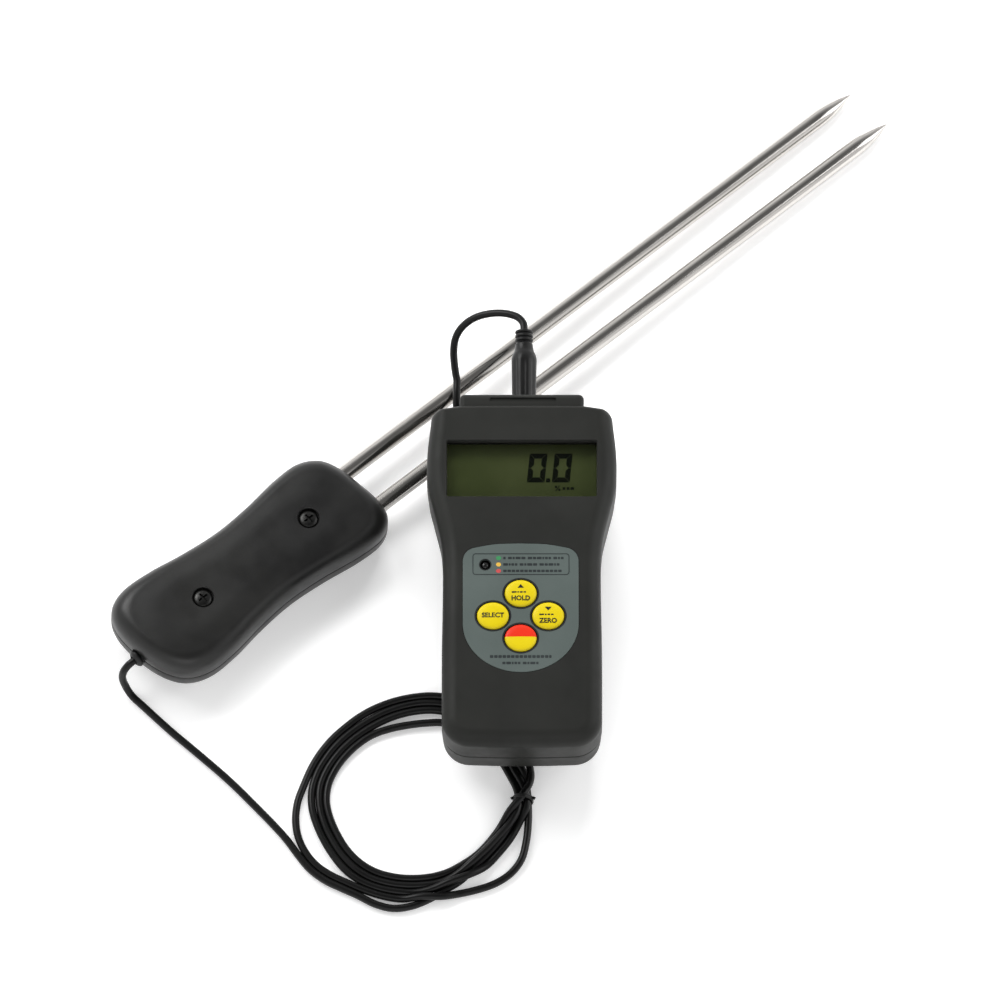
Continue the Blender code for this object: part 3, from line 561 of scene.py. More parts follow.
def block(name, low, high, place, look=None, bevel=0.0, segments=3):
    """A box between two corners, with rounded edges."""
    bm = bmesh.new()
    bmesh.ops.create_cube(bm, size=1.0)
    size, centre = Vector(high) - Vector(low), (Vector(low) + Vector(high)) / 2
    bmesh.ops.scale(bm, vec=size, verts=bm.verts)
    bmesh.ops.translate(bm, vec=centre, verts=bm.verts)
    if bevel:
        settings = {"offset_type": "OFFSET", "segments": segments, "profile": 0.5, "affect": "EDGES"}
        bmesh.ops.bevel(bm, geom=bm.edges[:], offset=bevel, **settings)
    return to_object(name, bm, place, look)


def carve(obj, cutters, operation="DIFFERENCE"):
    """Applies a Boolean with each of the cutters, and then removes them."""
    for cutter in cutters:
        modifier = obj.modifiers.new(cutter.name, "BOOLEAN")
        modifier.operation = operation
        modifier.object = cutter
    bpy.context.view_layer.update()
    graph = bpy.context.evaluated_depsgraph_get()
    mesh = bpy.data.meshes.new_from_object(obj.evaluated_get(graph))
    obj.modifiers.clear()
    obj.data = mesh
    mesh.shade_smooth()
    mesh.set_sharp_from_angle(angle=math.radians(30))
    for cutter in cutters:
        bpy.data.objects.remove(cutter, do_unlink=True)
    return obj


def finish_piece(obj, body, slot, *nodes):
    """The piece rides on its body and stands for these CAD nodes. The slot is not used."""
    weigh = obj.modifiers.new("weigh_normals", "WEIGHTED_NORMAL")
    weigh.keep_sharp = True
    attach(obj, body)
    if nodes:
        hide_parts(*nodes)
    return obj


# ---- the meter's case


def meter_outline():
    foot = [(0, FOOT_Y), (0.0085, FOOT_Y + 0.0001)]
    foot_corner = arc((FOOT_HALF - 0.0095, FOOT_Y + 0.0099), (0.0095, 0.0095), -88, -2, 16)
    side = [(FOOT_HALF, -0.0505), (FOOT_HALF, -0.0300), (0.0268, -0.0100), (0.0268, 0.0030)]
    side += [(0.0277, 0.0120), (0.0298, 0.0210), (0.0317, 0.0290)]
    side += [(0.0322, 0.0360), (0.0319, 0.0440), (0.0311, 0.0510)]
    head_corner = arc((0.0265, HEAD_Y - 0.0053), (0.0043, 0.0043), 8, 82, 12)
    head = [(0.0210, HEAD_Y - 0.0001), (0.0120, HEAD_Y), (0, HEAD_Y)]
    flank = [tuple(p) for p in smooth_curve(side, 6)]
    return mirrored(foot + foot_corner + flank + head_corner + head)


def label_outline(grow=0.0):
    bowl = arc((0, LABEL_WAIST), (LABEL_HALF, LABEL_WAIST - LABEL_FOOT), -90, 0, 32)
    corner = arc((LABEL_HALF - 0.0050, 0.0021), (0.0050, 0.0050), 0, 72, 12)
    crown = [tuple(p) for p in smooth_curve([corner[-1], (0.0085, 0.0082), (0, LABEL_TOP)], 6)][1:]
    return [(p[0] + LABEL_X, p[1]) for p in inset(mirrored(bowl + corner + crown), -grow)]


def key_outline(place, grow=0.0):
    return ellipse(place, (KEY_RADIUS + grow) * KEY_STRETCH, KEY_RADIUS + grow)


def lamp_outline(radius):
    return ellipse(LED_PLACE, radius, radius)


def face_cutters():
    """Holes for the keys and the status lamp, through the face and the label."""
    cutters = [plate(f"{name}_cut", key_outline(at, GAP), *FACE_CUT_Z, METER) for name, at in KEYS.items()]
    return cutters + [plate("lamp_cut", lamp_outline(LED_HOLE), *FACE_CUT_Z, METER)]


def notch_cutter():
    low = (-BLOCK_HALF - GAP, BLOCK_Y[0] - GAP, BLOCK_Z[0] - GAP)
    return block("notch_cut", low, (BLOCK_HALF + GAP, 0.080, BLOCK_Z[1] + GAP), METER)


def window_cutter():
    """The window's opening, with a softened rim and walls that lean in a little."""
    half_x, half_y = WINDOW_HALF
    outline = rounded_box(half_x + 0.0004, half_y + 0.0004, OPENING_RADIUS, (0, WINDOW_Y))
    layers = [(0.0006, FACE_CUT_Z[0]), (0.0005, 0.0275), (0.0003, METER_DEPTH - 0.0004)]
    layers += [(0.00015, METER_DEPTH - 0.0001), (-0.0002, METER_DEPTH + 0.00015), (-0.0002, FACE_CUT_Z[1])]
    return layered("window_cut", outline, layers, METER)


def front_shell(look):
    inner = [(0.0045, METER_DEPTH - 0.0020), (0.0027, METER_DEPTH - 0.0042), (WALL, SEAM_Z + GAP / 2)]
    lip = [(0.0005, SEAM_Z + GAP / 2), (0.0002, SEAM_Z + 0.0003), (0.0, SEAM_Z + 0.0009)]
    crown = rounding(FACE_ROUND, METER_DEPTH - FACE_ROUND, FACE_ROUND, 14)
    case = layered("front_shell", meter_outline(), inner + lip + crown, METER, look, 30, HEAD_SHARE)
    recess = plate("label_cut", label_outline(GAP / 2), LABEL_Z[0] - GAP, FACE_CUT_Z[1], METER)
    carve(case, [notch_cutter(), window_cutter(), recess] + face_cutters())
    finish_piece(case, "root", "case_grey", "front_case")


def rear_layers(solid=False):
    inner = [(0.0042, 0.0020), (0.0029, 0.0036), (WALL + 0.0002, SEAM_Z - GAP / 2)]
    lip = [(0.0005, SEAM_Z - GAP / 2), (0.0002, SEAM_Z - 0.0003), (0.0001, SEAM_Z - 0.0009)]
    side = [(0.0004, BACK_ROUND + 0.0010)]
    quarter = rounding(BACK_INSET, BACK_ROUND, BACK_ROUND, 12)
    crown = [(distance, 2 * BACK_ROUND - z) for distance, z in quarter]
    return ([] if solid else inner) + lip + side + crown


def rear_shell(look):
    case = layered("rear_shell", meter_outline(), rear_layers(), METER, look, 30, HEAD_SHARE)
    posts, cutters = [], [notch_cutter()]
    for i, (x, y) in enumerate(CASE_SCREWS):
        for made, name, radius, low, high in (
            (posts, "post", SCREW_POST, 0.0010, SEAM_Z - 0.0004),
            (cutters, "hole", SCREW_SHANK, -0.0010, 0.0200),
            (cutters, "recess", SCREW_RECESS, -0.0010, 0.0033),
        ):
            made.append(cylinder(f"{name}_{i}", radius, low, high, METER, at=(x, y, 0)))
    carve(case, posts, "UNION")
    wide = DOOR_HALF + GAP
    low = (-wide, -0.0750, -0.0010)
    cutters.append(block("bay_cut", low, (wide, DOOR_HEAD + GAP, DOOR_THICK + GAP), METER))
    low = (-wide, FOOT_Y + 0.0060, 0.0010)
    cutters.append(block("bay_floor_cut", low, (wide, DOOR_HEAD + GAP, 0.0030), METER))
    carve(case, cutters)
    finish_piece(case, "root", "case_grey", "rear_case")


def battery_cover(look):
    body = layered("door_shape", meter_outline(), rear_layers(solid=True), METER, None, 30, HEAD_SHARE)
    low, high = (-DOOR_HALF, -0.0700, -0.0010), (DOOR_HALF, DOOR_HEAD, DOOR_THICK)
    cover = carve(block("battery_cover", low, high, METER, look), [body], "INTERSECT")
    grips = []
    for i in range(DOOR_GRIPS):
        outline = rounded_box(0.0070, 0.0005, 0.0004, (0, GRIP_HEAD - GRIP_PITCH * i))
        grips.append(plate(f"grip_{i}", outline, -0.0010, 0.0005, METER))
    arrow = [(0.0, -0.0300), (0.0030, -0.0262), (-0.0030, -0.0262)]
    grips.append(plate("arrow_cut", arrow, -0.0010, 0.0003, METER))
    carve(cover, grips)
    finish_piece(cover, "battery_door", "case_grey", "battery_door")


def socket_block(look):
    low = (-BLOCK_HALF, BLOCK_Y[0], BLOCK_Z[0])
    piece = block("socket_block", low, (BLOCK_HALF, BLOCK_Y[1], BLOCK_Z[1]), METER, look, 0.0018, 6)
    bore = cylinder("bore_cut", SOCKET_BORE, 0.0450, 0.0700, METER, "Y", (SOCKET_X, 0, SOCKET_Z))
    slot_cut = plate("slot_cut", rounded_box(*SLOT), BLOCK_Z[1] - SLOT_DEPTH, 0.0290, METER)
    carve(piece, [bore, slot_cut])
    finish_piece(piece, "root", "case_grey", "end_block")


def socket_insert(look):
    back, mouth, bore = 0.0500, BLOCK_Y[1] - 0.0002, 0.0032
    profile = [(0.0, back + 0.0020), (bore, back + 0.0020), (bore, mouth - 0.0004), (bore + 0.0004, mouth)]
    profile += [(0.0054, mouth), (0.0058, mouth - 0.0004), (0.0058, back), (0.0, back)]
    piece = turned("socket_insert", fillet(profile), METER, look, "Y", (SOCKET_X, 0, SOCKET_Z))
    finish_piece(piece, "root", "inner_plastic", "connector_socket")


# ---- display


def segment(kind, width, height, t):
    """The polygon of one bar of a seven-bar figure, in a box from 0 to width and 0 to height."""
    gap, mid = t * 0.05, height / 2
    right, slope = width - gap, t * 0.6
    bars = {
        "top": [(gap, height), (t + gap, height - t), (width - t - gap, height - t), (right, height)],
        "bottom": [(gap, 0), (right, 0), (width - t - gap, t), (t + gap, t)],
        "left_up": [
            (0, height - gap), (0, mid + gap), (t * 0.5, mid + gap), (t, mid + slope), (t, height - t - gap)
        ],
        "left_down": [(0, gap), (t, t + gap), (t, mid - slope), (t * 0.5, mid - gap), (0, mid - gap)],
    }
    if kind in bars:
        return bars[kind]
    return [(width - x, y) for x, y in reversed(bars[kind.replace("right", "left")])]


def lay_flat(name, outlines, low, high, place, look):
    """Thin flat marks, all in one piece: one closed prism for each outline."""
    bm = bmesh.new()
    for outline in outlines:
        area = sum(a[0] * b[1] - b[0] * a[1] for a, b in zip(outline, outline[1:] + outline[:1]))
        points = outline if area > 0 else list(reversed(outline))
        rings = [[bm.verts.new((p[0], p[1], z)) for p in points] for z in (low, high)]
        bridge(bm, *rings)
        bm.faces.new(reversed(rings[0]))
        bm.faces.new(rings[1])
    return to_object(name, bm, place, look)


def zero_figure(left):
    """The six lit bars of a nought, leaning to the right."""
    kinds = ("top", "bottom", "left_up", "left_down", "right_up", "right_down")
    shapes = [segment(kind, *FIGURE_SIZE, FIGURE_BAR) for kind in kinds]
    return [[(left + x + FIGURE_SLANT * y, FIGURE_FOOT + y) for x, y in shape] for shape in shapes]


def percent_mark(left, foot, size):
    """A small percent sign: two filled rounds and a stroke."""
    shapes = [[(0.1, 0.0), (0.28, 0.0), (0.9, 1.0), (0.72, 1.0)]]
    shapes += [ellipse(middle, 0.2, 0.24, 20) for middle in ((0.2, 0.76), (0.8, 0.24))]
    return [[(left + size * x, foot + size * y) for x, y in shape] for shape in shapes]


def display_layers(looks):
    """The glass, the frame round it and the clear window over both."""
    outline = rounded_box(*LCD_HALF, 0.0005, (0, WINDOW_Y))
    glass = plate("display_glass", outline, *LCD_Z, METER, looks["lcd"], 0.0001)
    finish_piece(glass, "root", "lcd_glass", "lcd_module")
    bezel = plate("display_bezel", outline, *BEZEL_Z, METER, looks["black"], 0.0002)
    opening = rounded_box(0.0256, 0.0101, 0.0004, (0, WINDOW_Y))
    carve(bezel, [plate("bezel_cut", opening, LCD_Z[1] - 0.0010, LENS_Z[0] + 0.0007, METER)])
    finish_piece(bezel, "root", "inner_plastic", "lcd_frame")
    lens_outline = rounded_box(0.0258, 0.0110, 0.0006, (0, WINDOW_Y))
    lens = plate("display_lens", lens_outline, *LENS_Z, METER, looks["window"], 0.0001)
    finish_piece(lens, "root", "window_clear", "display_window")


def display_figures(look):
    """The reading, 0.0, and a percent sign with a short unit of plain bars under it."""
    digits = [shape for left in FIGURE_LEFTS for shape in zero_figure(left)]
    digits.append(rounded_box(0.0007, 0.0007, 0.0002, (0.0089, 0.0328)))
    marks = percent_mark(0.0112, 0.0290, 0.0019)
    for i, length in enumerate((0.0009, 0.0009, 0.0012)):
        marks.append(rounded_box(length / 2, 0.00045, 0.0001, (0.0143 + 0.0014 * i, 0.0299)))
    for name, shapes in (("display_figures", digits), ("display_unit", marks)):
        finish_piece(lay_flat(name, shapes, *FIGURE_Z, METER, look), "root", "lcd_glass")


# ---- label and keys


def label_film(look):
    film = plate("label_film", label_outline(), *LABEL_Z, METER, look, 0.0001)
    carve(film, face_cutters())
    finish_piece(film, "root", "label_teal", "label_plate")


def printed_ring(name, outer, inner, look):
    """A flat printed line between two outlines with the same count of points."""
    bm = bmesh.new()
    low, high = PRINT_Z
    corners = ((outer, low), (outer, high), (inner, high), (inner, low))
    rings = [[bm.verts.new((p[0], p[1], z)) for p in line] for line, z in corners]
    for a, b in zip(rings, rings[1:] + rings[:1]):
        bridge(bm, a, b)
    finish_piece(to_object(name, bm, METER, look), "root", "label_teal")


def printed_rows(left, right, y, height, seed):
    """A row of short bars, in place of small print. Each bar's step, 0 to 10, sets its length."""
    bars, x, step = [], left, seed
    while x < right - 0.0007:
        step = (step * 7 + 3) % 11
        length = min(0.0006 + 0.00011 * step, right - x)
        bars.append(rounded_box(length / 2, height / 2, height * 0.2, (x + length / 2, y), 2))
        x += length + (0.0008 if step in (2, 7) else 0.00028)
    return bars


def label_print(looks):
    """The legend's box, the rims round the holes, three dots and rows of neutral dashes."""
    centre = (LABEL_X + 0.0001, 0.00105)
    outer = rounded_box(0.0164, 0.00385, 0.0011, centre)
    printed_ring("legend_box", outer, rounded_box(0.0161, 0.00355, 0.0008, centre), looks["ink_grey"])
    for name, at in KEYS.items():
        printed_ring(f"{name}_rim", key_outline(at, 0.00075), key_outline(at, GAP), looks["ink"])
    printed_ring("lamp_rim", lamp_outline(LED_RIM), lamp_outline(LED_HOLE), looks["ink"])
    small = []
    for colour, y, end, seed in LEGEND_ROWS:
        dot = [ellipse((LEGEND_LEFTS[0], y), 0.00085, 0.00072, 24)]
        dot = lay_flat(f"legend_dot_{colour}", dot, *PRINT_Z, METER, looks[f"ink_{colour}"])
        finish_piece(dot, "root", "label_teal")
        small += printed_rows(LEGEND_LEFTS[1], end, y, 0.00085, seed)
    for row in FOOT_ROWS:
        small += printed_rows(*row)
    marks = lay_flat("label_small_print", small, *PRINT_Z, METER, looks["ink_grey"])
    finish_piece(marks, "root", "label_teal")


def word_mesh(name, text, at, look):
    """A function word on a key, as flat closed letters."""
    curve = bpy.data.curves.new(name, "FONT")
    curve.body = text
    curve.size = WORD_SIZE
    curve.extrude = 0.00002
    curve.offset = 0.00007
    curve.align_x, curve.align_y = "CENTER", "CENTER"
    curve.resolution_u = 3
    maker = new_object(name, curve, Matrix.Identity(4))
    bpy.context.view_layer.update()
    graph = bpy.context.evaluated_depsgraph_get()
    mesh = bpy.data.meshes.new_from_object(maker.evaluated_get(graph))
    bpy.data.objects.remove(maker, do_unlink=True)
    mesh.transform(Matrix.Translation(at))
    mesh.materials.clear()
    mesh.materials.append(look)
    return new_object(name, mesh, METER)


def crown_height(radius):
    """Height of a key's domed top at this distance from its middle."""
    for (r0, z0), (r1, z1) in zip(KEY_CROWN, KEY_CROWN[1:]):
        if radius <= r1:
            return z0 + (z1 - z0) * (radius - r0) / (r1 - r0)
    return KEY_CROWN[-1][1]


def split_flat(obj, y):
    """Cuts the faces along a plane of constant y, so that two colours meet on a straight line."""
    bm = bmesh.new()
    bm.from_mesh(obj.data)
    parts = bm.verts[:] + bm.edges[:] + bm.faces[:]
    bmesh.ops.bisect_plane(bm, geom=parts, plane_co=(0, y, 0), plane_no=(0, 1, 0))
    bm.to_mesh(obj.data)
    bm.free()


def key_caps(looks):
    flange = KEY_RADIUS + 0.0009
    profile = list(KEY_CROWN) + [(0.00468, 0.03022), (KEY_RADIUS, 0.0299), (KEY_RADIUS, 0.0275)]
    profile += [(flange, 0.0275), (flange, 0.0267), (0.0, 0.0267)]
    for name, (x, y) in KEYS.items():
        cap = turned(f"{name}_cap", profile, METER, looks["yellow"], "Z", (x, y, 0), 96, KEY_STRETCH, 40)
        if name == "key_power":
            split_flat(cap, y + KEY_SPLIT)
            cap.data.materials.append(looks["red"])
            for face in cap.data.polygons:
                face.material_index = int(face.center.y > y + KEY_SPLIT)
        finish_piece(cap, name, "key_red" if name == "key_power" else "key_yellow", name)


def key_marks(look):
    """An arrow and a row of dashes on the hold and zero keys, and a word on each but power."""
    top = crown_height(0.0012)
    for name, way in (("key_hold", 1), ("key_zero", -1)):
        x, y = KEYS[name]
        tip, base = y + 0.0024 + way * 0.0007, y + 0.0024 - way * 0.0006
        arrow = [[(x - 0.0011, base), (x + 0.0011, base), (x, tip)]]
        bars = printed_rows(x - 0.0030, x + 0.0030, y + 0.0003, 0.0005, 4)
        for part, shapes, sunk in (("arrow", arrow, 0.0004), ("bars", bars, 0.0002)):
            mark = lay_flat(f"{name}_{part}", shapes, top - sunk, top + INK_THICK, METER, look)
            finish_piece(mark, name, "inner_plastic")
    words = (("key_hold", "HOLD", -0.0019), ("key_zero", "ZERO", -0.0019), ("key_select", "SELECT", 0.0))
    for name, text, drop in words:
        x, y = KEYS[name]
        word = word_mesh(f"{name}_word", text, (x, y + drop, top), look)
        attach(word, name)


def status_lens(look):
    profile = [(0.0, 0.02985), (0.0006, 0.02978), (0.0011, 0.0295), (0.0014, 0.0290), (0.0015, 0.0284)]
    profile += [(0.0015, 0.0219), (0.0, 0.0219)]
    lens = turned("status_lens", profile, METER, look, at=(*LED_PLACE, 0), sides=48)
    finish_piece(lens, "root", "lamp_lens", "status_led")


# ---- the probe


def handle_rings(layers, way):
    """Rings of a handle shell: each layer is (share of the way to the flat core, height)."""
    rear, front = (HANDLE_ENDS[1], 0.0), (HANDLE_ENDS[0], 0.0)
    lower = [(x, -half) for x, half in reversed(HANDLE_SIDE)]
    upper = [(x, half) for x, half in HANDLE_SIDE]
    control = [rear] + lower + [front] + upper
    middle = sum(HANDLE_ENDS) / 2
    core = [(middle + (x - middle) * 0.775, y * 0.46) for x, y in control]
    rings = []
    for share, z in layers:
        mixed = [Vector(a).lerp(Vector(b), share) for a, b in zip(control, core)]
        line = smooth_curve(mixed, 10, closed=True)
        rings.append([(p.x - HANDLE_SKEW * p.y, p.y + HANDLE_SHIFT, way * z) for p in line])
    return rings


def handle_layers():
    """(share of the way to the core, height) from the inner wall over the lip to the crown."""
    inner = [(0.80, 0.0084), (0.45, 0.0076), (0.27, 0.0050), (0.24, GAP / 2)]
    lip = [(0.030, GAP / 2), (0.008, 0.00035), (0.0, 0.0008)]
    side = [(0.0, 0.0020), (0.003, HANDLE_CROWN_Z)]
    crown, steps = [], 14
    for i in range(1, steps + 1):
        a = math.pi / 2 * i / steps
        crown.append((0.003 + 0.50 * (1 - math.cos(a)), HANDLE_CROWN_Z + HANDLE_CROWN * math.sin(a)))
    top = [(0.60, 0.00992), (0.72, 0.01008), (0.86, 0.01024), (1.0, 0.01038), (1.25, HANDLE_HALF_DEPTH)]
    return inner + lip + side + crown + top


def handle_shell(name, node, way, look):
    """The upper shell for way 1, the lower for way -1. The screws' heads sink into the upper one."""
    shell = loft(name, handle_rings(handle_layers(), way), PROBE, look)
    low, high = sorted((way * 0.0004, way * 0.0095))
    posts = [
        cylinder(f"{name}_post_{i}", HANDLE_POST, low, high, PROBE, at=(x, 0, 0))
        for i, x in enumerate(HANDLE_SCREWS)
    ]
    carve(shell, posts, "UNION")
    sink = [(0.0, 0.0140), (0.00415, 0.0140), (0.00395, 0.01035)]
    sink += [(0.0037, 0.0101), (0.0037, 0.0084), (0.0, 0.0084)]
    low, high = (-0.0010, 0.0140) if way > 0 else (-0.0070, 0.0010)
    cutters = []
    for i, x in enumerate(HANDLE_SCREWS):
        cutters.append(cylinder(f"{name}_hole_{i}", HANDLE_HOLE, low, high, PROBE, at=(x, 0, 0)))
        if way > 0:
            cutters.append(turned(f"{name}_sink_{i}", sink, PROBE, None, at=(x, 0, 0)))
    bore = NEEDLE_RADIUS + GAP
    for i, y in enumerate((-NEEDLE_Y, NEEDLE_Y)):
        cutters.append(cylinder(f"{name}_needle_{i}", bore, -0.0060, 0.0080, PROBE, "X", (0, y, 0)))
    cutters.append(cylinder(f"{name}_exit", LEAD_HOLE, -0.1040, -0.0900, PROBE, "X"))
    carve(shell, cutters)
    finish_piece(shell, "root", "handle_black", node)


def needles(look):
    """Two rods, each with a curved point, a straight shank and a small chamfer at the tail."""
    profile = [(0.0, NEEDLE_OUT)]
    for i in range(1, POINT_STEPS + 1):
        t = (i / POINT_STEPS) ** 1.3
        radius = NEEDLE_RADIUS * math.sin(math.pi / 2 * t) ** 0.85
        profile.append((radius, NEEDLE_OUT - NEEDLE_POINT * t))
    profile += [(NEEDLE_RADIUS, NEEDLE_OUT * share) for share in (0.8, 0.55, 0.3, 0.05)]
    profile += [(NEEDLE_RADIUS, NEEDLE_TAIL + 0.0004), (NEEDLE_RADIUS - 0.0004, NEEDLE_TAIL)]
    profile.append((0.0, NEEDLE_TAIL))
    for name, y in (("needle_right", -NEEDLE_Y), ("needle_left", NEEDLE_Y)):
        at = (-HANDLE_SKEW * y, y, 0)
        needle = turned(f"{name}_rod", profile, PROBE, look, "X", at, 64, smooth=60)
        finish_piece(needle, "root", "needle_steel", name)


def strain_relief(look):
    profile = [(0.0017, -0.0900), (0.0042, -0.0900), (0.0042, -0.0912), (0.0025, -0.0912)]
    profile += [(0.0025, -0.0968), (0.0031, -0.0973), (0.0031, -0.0979), (0.0026, -0.0984)]
    profile += [(0.0021, -0.0988), (0.0017, -0.0988), (0.0017, -0.0900)]
    piece = turned("strain_relief", fillet(profile), PROBE, look, "X", sides=48)
    finish_piece(piece, "root", "rubber_black", "cord_grommet")


def cross_cutters(name, x, y, reach, low, high, place):
    """The two blades of a cross recess between these heights, a little wider at the upper one."""
    half, taper, corner = reach * 0.24, reach * 0.08, reach * 0.14
    layers = [(taper, low), (0.0, high)]
    made = []
    for i, (half_x, half_y) in enumerate(((reach, half), (half, reach))):
        outline = rounded_box(half_x, half_y, corner, (x, y), 3)
        made.append(layered(f"{name}_blade_{i}", outline, layers, place))
    return made


def cross_screw(name, profile, place, x, y, sides, look, recess):
    """A turned screw with a cross recess: recess holds its reach and its two heights."""
    screw = turned(f"{name}_head", profile, place, look, at=(x, y, 0), sides=sides)
    carve(screw, cross_cutters(name, x, y, *recess, place))
    finish_piece(screw, "root", "fastener_steel", name)


def handle_screws(look):
    profile = [(0.0, 0.0100), (0.0012, 0.00998), (0.0021, 0.00988), (0.0029, 0.00962)]
    profile += [(0.0033, 0.0092), (0.0033, 0.0087), (0.0015, 0.0087), (0.0015, -0.0060), (0.0, -0.0060)]
    for name, x in zip(("handle_screw_front", "handle_screw_rear"), HANDLE_SCREWS):
        cross_screw(name, profile, PROBE, x, 0.0, 48, look, (0.0019, 0.0089, 0.0120))


def case_screws(look):
    profile = [(0.0, 0.0190), (0.0013, 0.0186), (0.0013, 0.0029), (0.0026, 0.0029), (0.0026, 0.0016)]
    profile += [(0.0020, 0.0012), (0.0, 0.0011)]
    for i, (x, y) in enumerate(CASE_SCREWS):
        cross_screw(f"case_screw_{i + 1}", profile, METER, x, y, 40, look, (0.0015, 0.0000, 0.0020))


# ---- the plug and the lead


def plug_body(look):
    """The grip: a barrel with shallow flats along it and a neck towards the collar."""
    stations = [(0.0000, 0.0037), (0.0004, 0.0040), (0.0020, 0.0042), (0.0080, 0.0043)]
    stations += [(0.0140, 0.0044), (0.0160, 0.0044), (0.0178, 0.0040), (0.0192, 0.0034)]
    stations += [(0.0206, 0.0031), (0.0216, 0.0030), (PLUG_BARREL, 0.0027)]
    sides, rings = 96, []
    for p in smooth_curve([(y, r, 0) for y, r in stations], 4):
        fade_in, fade_out = p.x / 0.0020, (0.0170 - p.x) / 0.0030
        depth = RIB_DEPTH * max(0.0, min(1.0, fade_in)) * max(0.0, min(1.0, fade_out))
        ring = []
        for i in range(sides):
            a = 2 * math.pi * i / sides
            r = p.y - depth * (0.5 + 0.5 * math.cos(PLUG_RIBS * a)) ** 2
            ring.append((SOCKET_X + r * math.sin(a), PLUG_FACE + p.x, SOCKET_Z + r * math.cos(a)))
        rings.append(ring)
    grip = loft("plug_grip", rings, METER, look, 50)
    return finish_piece(grip, "plug", "rubber_black", "plug_body")


def plug_collar(look):
    """Three ribs on the lead behind the grip."""
    start = PLUG_FACE + PLUG_BARREL + GAP
    rib = ((0.0030, 0.00125), (0.0031, 0.0009), (0.0030, 0.0005), (0.0024, 0.00025))
    profile = [(0.0, start + PLUG_COLLAR), (0.0019, start + PLUG_COLLAR)]
    for i in (2, 1, 0):
        profile += [(radius, start + PLUG_COLLAR * i / 3 + rise) for radius, rise in rib]
    profile += [(0.0024, start), (0.0, start)]
    at = (SOCKET_X, 0, SOCKET_Z)
    collar = turned("plug_relief", fillet(profile, 0.0002), METER, look, "Y", at, smooth=50)
    return finish_piece(collar, "plug", "rubber_black", "plug_collar")


def plug_pin(look):
    top = PLUG_FACE - GAP
    profile = [(0.0, top), (0.0028, top), (0.0028, 0.0545), (0.0024, 0.0540), (0.0, 0.0540)]
    pin = turned("plug_contact", fillet(profile), METER, look, "Y", (SOCKET_X, 0, SOCKET_Z))
    return finish_piece(pin, "plug", "fastener_steel", "plug_pin")


def sweep(name, path, radius, look, sides=20):
    """A round tube along a path, with a flat cap on each end."""
    last = len(path) - 1
    tangents = [(path[min(i + 1, last)] - path[max(i - 1, 0)]).normalized() for i in range(last + 1)]
    turns = [2 * math.pi * i / sides for i in range(sides)]
    across = tangents[0].orthogonal().normalized()
    rings = []
    for point, along in zip(path, tangents):
        across = (across - along * across.dot(along)).normalized()
        other = along.cross(across)
        rings.append([point + (across * math.cos(a) + other * math.sin(a)) * radius for a in turns])
    return loft(name, rings, Matrix.Identity(4), look, 60)


def lead(looks, pieces_on_it):
    """The whole lead as one tube."""
    points = []
    for x, y, *z in PROBE_RUN + COIL_RUN + METER_RUN + LOOP_RUN:
        points.append((x / RUN_UNITS, y / RUN_UNITS, z[0] / RUN_UNITS if z else CORD_RADIUS))
    path = smooth_curve(points, 5)
    cord = sweep("lead", path, CORD_RADIUS, looks["cord"])
    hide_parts("cord_probe_run", "cord_coil", "cord_meter_run", "cord_loop")
    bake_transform(cord)


def lead_tie(look):
    """A soft wire tie wrapped round the bundle, with its two ends twisted off to the sides."""
    x, y = COIL_CENTRE[0] + TIE_RADIUS, COIL_CENTRE[1]
    bundle = [(-0.0026, 0.0007), (0, 0.0006), (0.0026, 0.0007), (0.0031, 0.0026)]
    bundle += [(0.0027, 0.0052), (0, 0.0078), (-0.0027, 0.0056), (-0.0031, 0.0026)]
    bundle = smooth_curve([(x + dx, z) for dx, z in bundle], 6, closed=True)
    count = len(bundle)
    points = []
    for i in range(TIE_TURNS * count + 1):
        p = bundle[i % count]
        forward = y - 0.0006 + 0.0012 * i / (TIE_TURNS * count)
        points.append(Vector((p.x, forward, p.y + 0.00005 * i / count)))
    wrap = sweep("lead_tie", points, TIE_WIRE, look, 12)
    pieces = [finish_piece(wrap, "root", "cord_black", "cord_tie")]
    tail = ((0.0030, 0, 0.0048), (0.0036, 0, 0.0050), (0.0041, -0.0003, 0.0049))
    for side, sign in (("left", -1), ("right", 1)):
        run = smooth_curve([(x + sign * dx, y + dy, z) for dx, dy, z in tail], 4)
        ear = sweep(f"lead_tie_{side}", run, TIE_WIRE, look, 12)
        pieces.append(finish_piece(ear, "root", "cord_black"))
    return pieces


# ---- CAD pieces that stay

CAD_LOOKS = {
    "black": ("processor_chip", "buzzer", "battery_tray", "cord_anchor"),
    "rubber": ("keypad_mat",),
    "board": ("main_board",),
    "ivory": ("needle_block",),
    "jacket": tuple(f"battery_{i}" for i in range(1, 5)),
    "nickel": (
        *(f"contact_strip_{end}" for end in ("foot", "head")),
        *(f"terminal_lug_{side}" for side in ("left", "right")),
        *(f"battery_spring_{i}" for i in range(1, 5)),
    ),
    "zinc": ("needle_nut_left", "needle_nut_right"),
    "wire_red": ("lead_wire_left",),
    "wire_black": ("lead_wire_right",),
}


def dress_cad_pieces(looks):
    for look, names in CAD_LOOKS.items():
        for name in names:
            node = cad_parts[name]
            node.data.materials.clear()
            node.data.materials.append(looks[look])


# ---- stage, light and camera


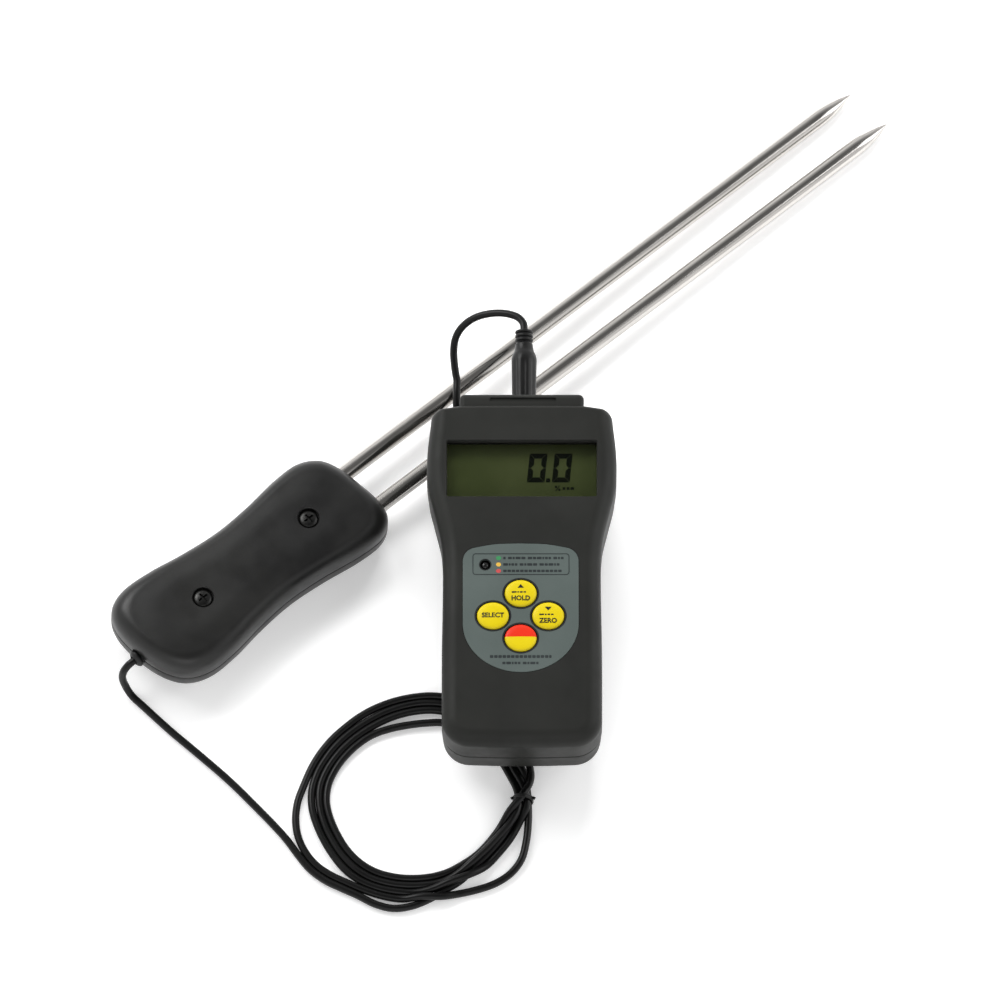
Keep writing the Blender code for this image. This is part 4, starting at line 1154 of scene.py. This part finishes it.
def make_floor():
    bm = bmesh.new()
    bmesh.ops.create_grid(bm, x_segments=1, y_segments=1, size=4.0)
    made, tree, shader = new_material("floor_white")
    where = object_coordinates(tree)
    tone = ramp(tree, noise(tree, where, 3), ((0.3, grey(0.90)), (0.7, grey(0.92))))
    tree.links.new(tone, shader.inputs["Base Color"])
    tree.links.new(spread(tree, noise(tree, where, 40), 0.75, 0.9), shader.inputs["Roughness"])
    shader.inputs["Emission Color"].default_value = (1.0, 1.0, 1.0, 1.0)
    shader.inputs["Emission Strength"].default_value = FLOOR_GLOW
    floor = to_object("floor", bm, Matrix.Translation((0, 0, -0.0001)), made)


def make_world():
    """Bright near the horizon and greyer overhead."""
    world = bpy.data.worlds.new("studio")
    world.use_nodes = True
    tree = world.node_tree
    up = add(tree, "ShaderNodeSeparateXYZ", {0: add(tree, "ShaderNodeTexCoord").outputs["Generated"]})
    stops = ((0.0, grey(1.0)), (0.50, grey(0.95)), (0.74, grey(0.42)), (0.90, grey(0.16)))
    sky = ramp(tree, up.outputs["Z"], stops)
    back = tree.nodes["Background"]
    tree.links.new(sky, back.inputs["Color"])
    back.inputs["Strength"].default_value = 1.0
    bpy.context.scene.world = world


def area_light(name, place, aim, size, power, mirrored_too=True):
    data = bpy.data.lights.new(name, "AREA")
    data.shape = "RECTANGLE"
    data.size, data.size_y = size
    data.energy = power
    lamp = bpy.data.objects.new(name, data)
    lamp.location = place
    lamp.rotation_euler = (Vector(aim) - Vector(place)).to_track_quat("-Z", "Y").to_euler()
    lamp.visible_glossy = mirrored_too
    bpy.context.scene.collection.objects.link(lamp)


def make_stage():
    make_floor()
    make_world()
    area_light("key_light", (-0.75, 0.55, 0.95), (-0.02, -0.02, 0), (0.7, 0.7), 9.0)
    area_light("head_light", (0.02, 0.36, 0.42), (0.0, 0.0, 0.03), (0.30, 0.20), 2.2, False)
    area_light("front_light", (-0.10, -1.05, 0.80), (0.0, -0.05, 0), (0.9, 0.4), 2.0)
    area_light("fill_light", (0.95, 0.10, 0.60), (0.0, -0.02, 0), (0.5, 0.8), 3.0)
    bpy.context.scene.view_settings.view_transform = "Standard"


def make_camera():
    data = bpy.data.cameras.new("camera")
    data.lens = CAMERA_LENS
    data.clip_start, data.clip_end = 0.1, 12.0
    camera = bpy.data.objects.new("camera", data)
    back = Vector((0, -math.cos(CAMERA_ELEVATION), math.sin(CAMERA_ELEVATION)))
    camera.location = CAMERA_TARGET + back * CAMERA_DISTANCE
    camera.rotation_euler = (-back).to_track_quat("-Z", "Y").to_euler()
    bpy.context.scene.collection.objects.link(camera)
    bpy.context.scene.camera = camera


def main():
    looks = make_looks()
    make_camera()
    plug_pieces = [plug_body(looks["rubber"]), plug_collar(looks["rubber"]), plug_pin(looks["zinc"])]
    lead(looks, plug_pieces + lead_tie(looks["cord"]))
    front_shell(looks["case"])
    rear_shell(looks["case"])
    battery_cover(looks["case"])
    socket_block(looks["case"])
    socket_insert(looks["black"])
    display_layers(looks)
    display_figures(looks["segment"])
    label_film(looks["label"])
    label_print(looks)
    key_caps(looks)
    key_marks(looks["ink"])
    status_lens(looks["lamp"])
    handle_shell("handle_top", "handle_upper_shell", 1, looks["handle"])
    handle_shell("handle_bottom", "handle_lower_shell", -1, looks["handle"])
    needles(looks["steel"])
    strain_relief(looks["rubber"])
    handle_screws(looks["blackened"])
    case_screws(looks["zinc"])
    dress_cad_pieces(looks)
    make_stage()


main()
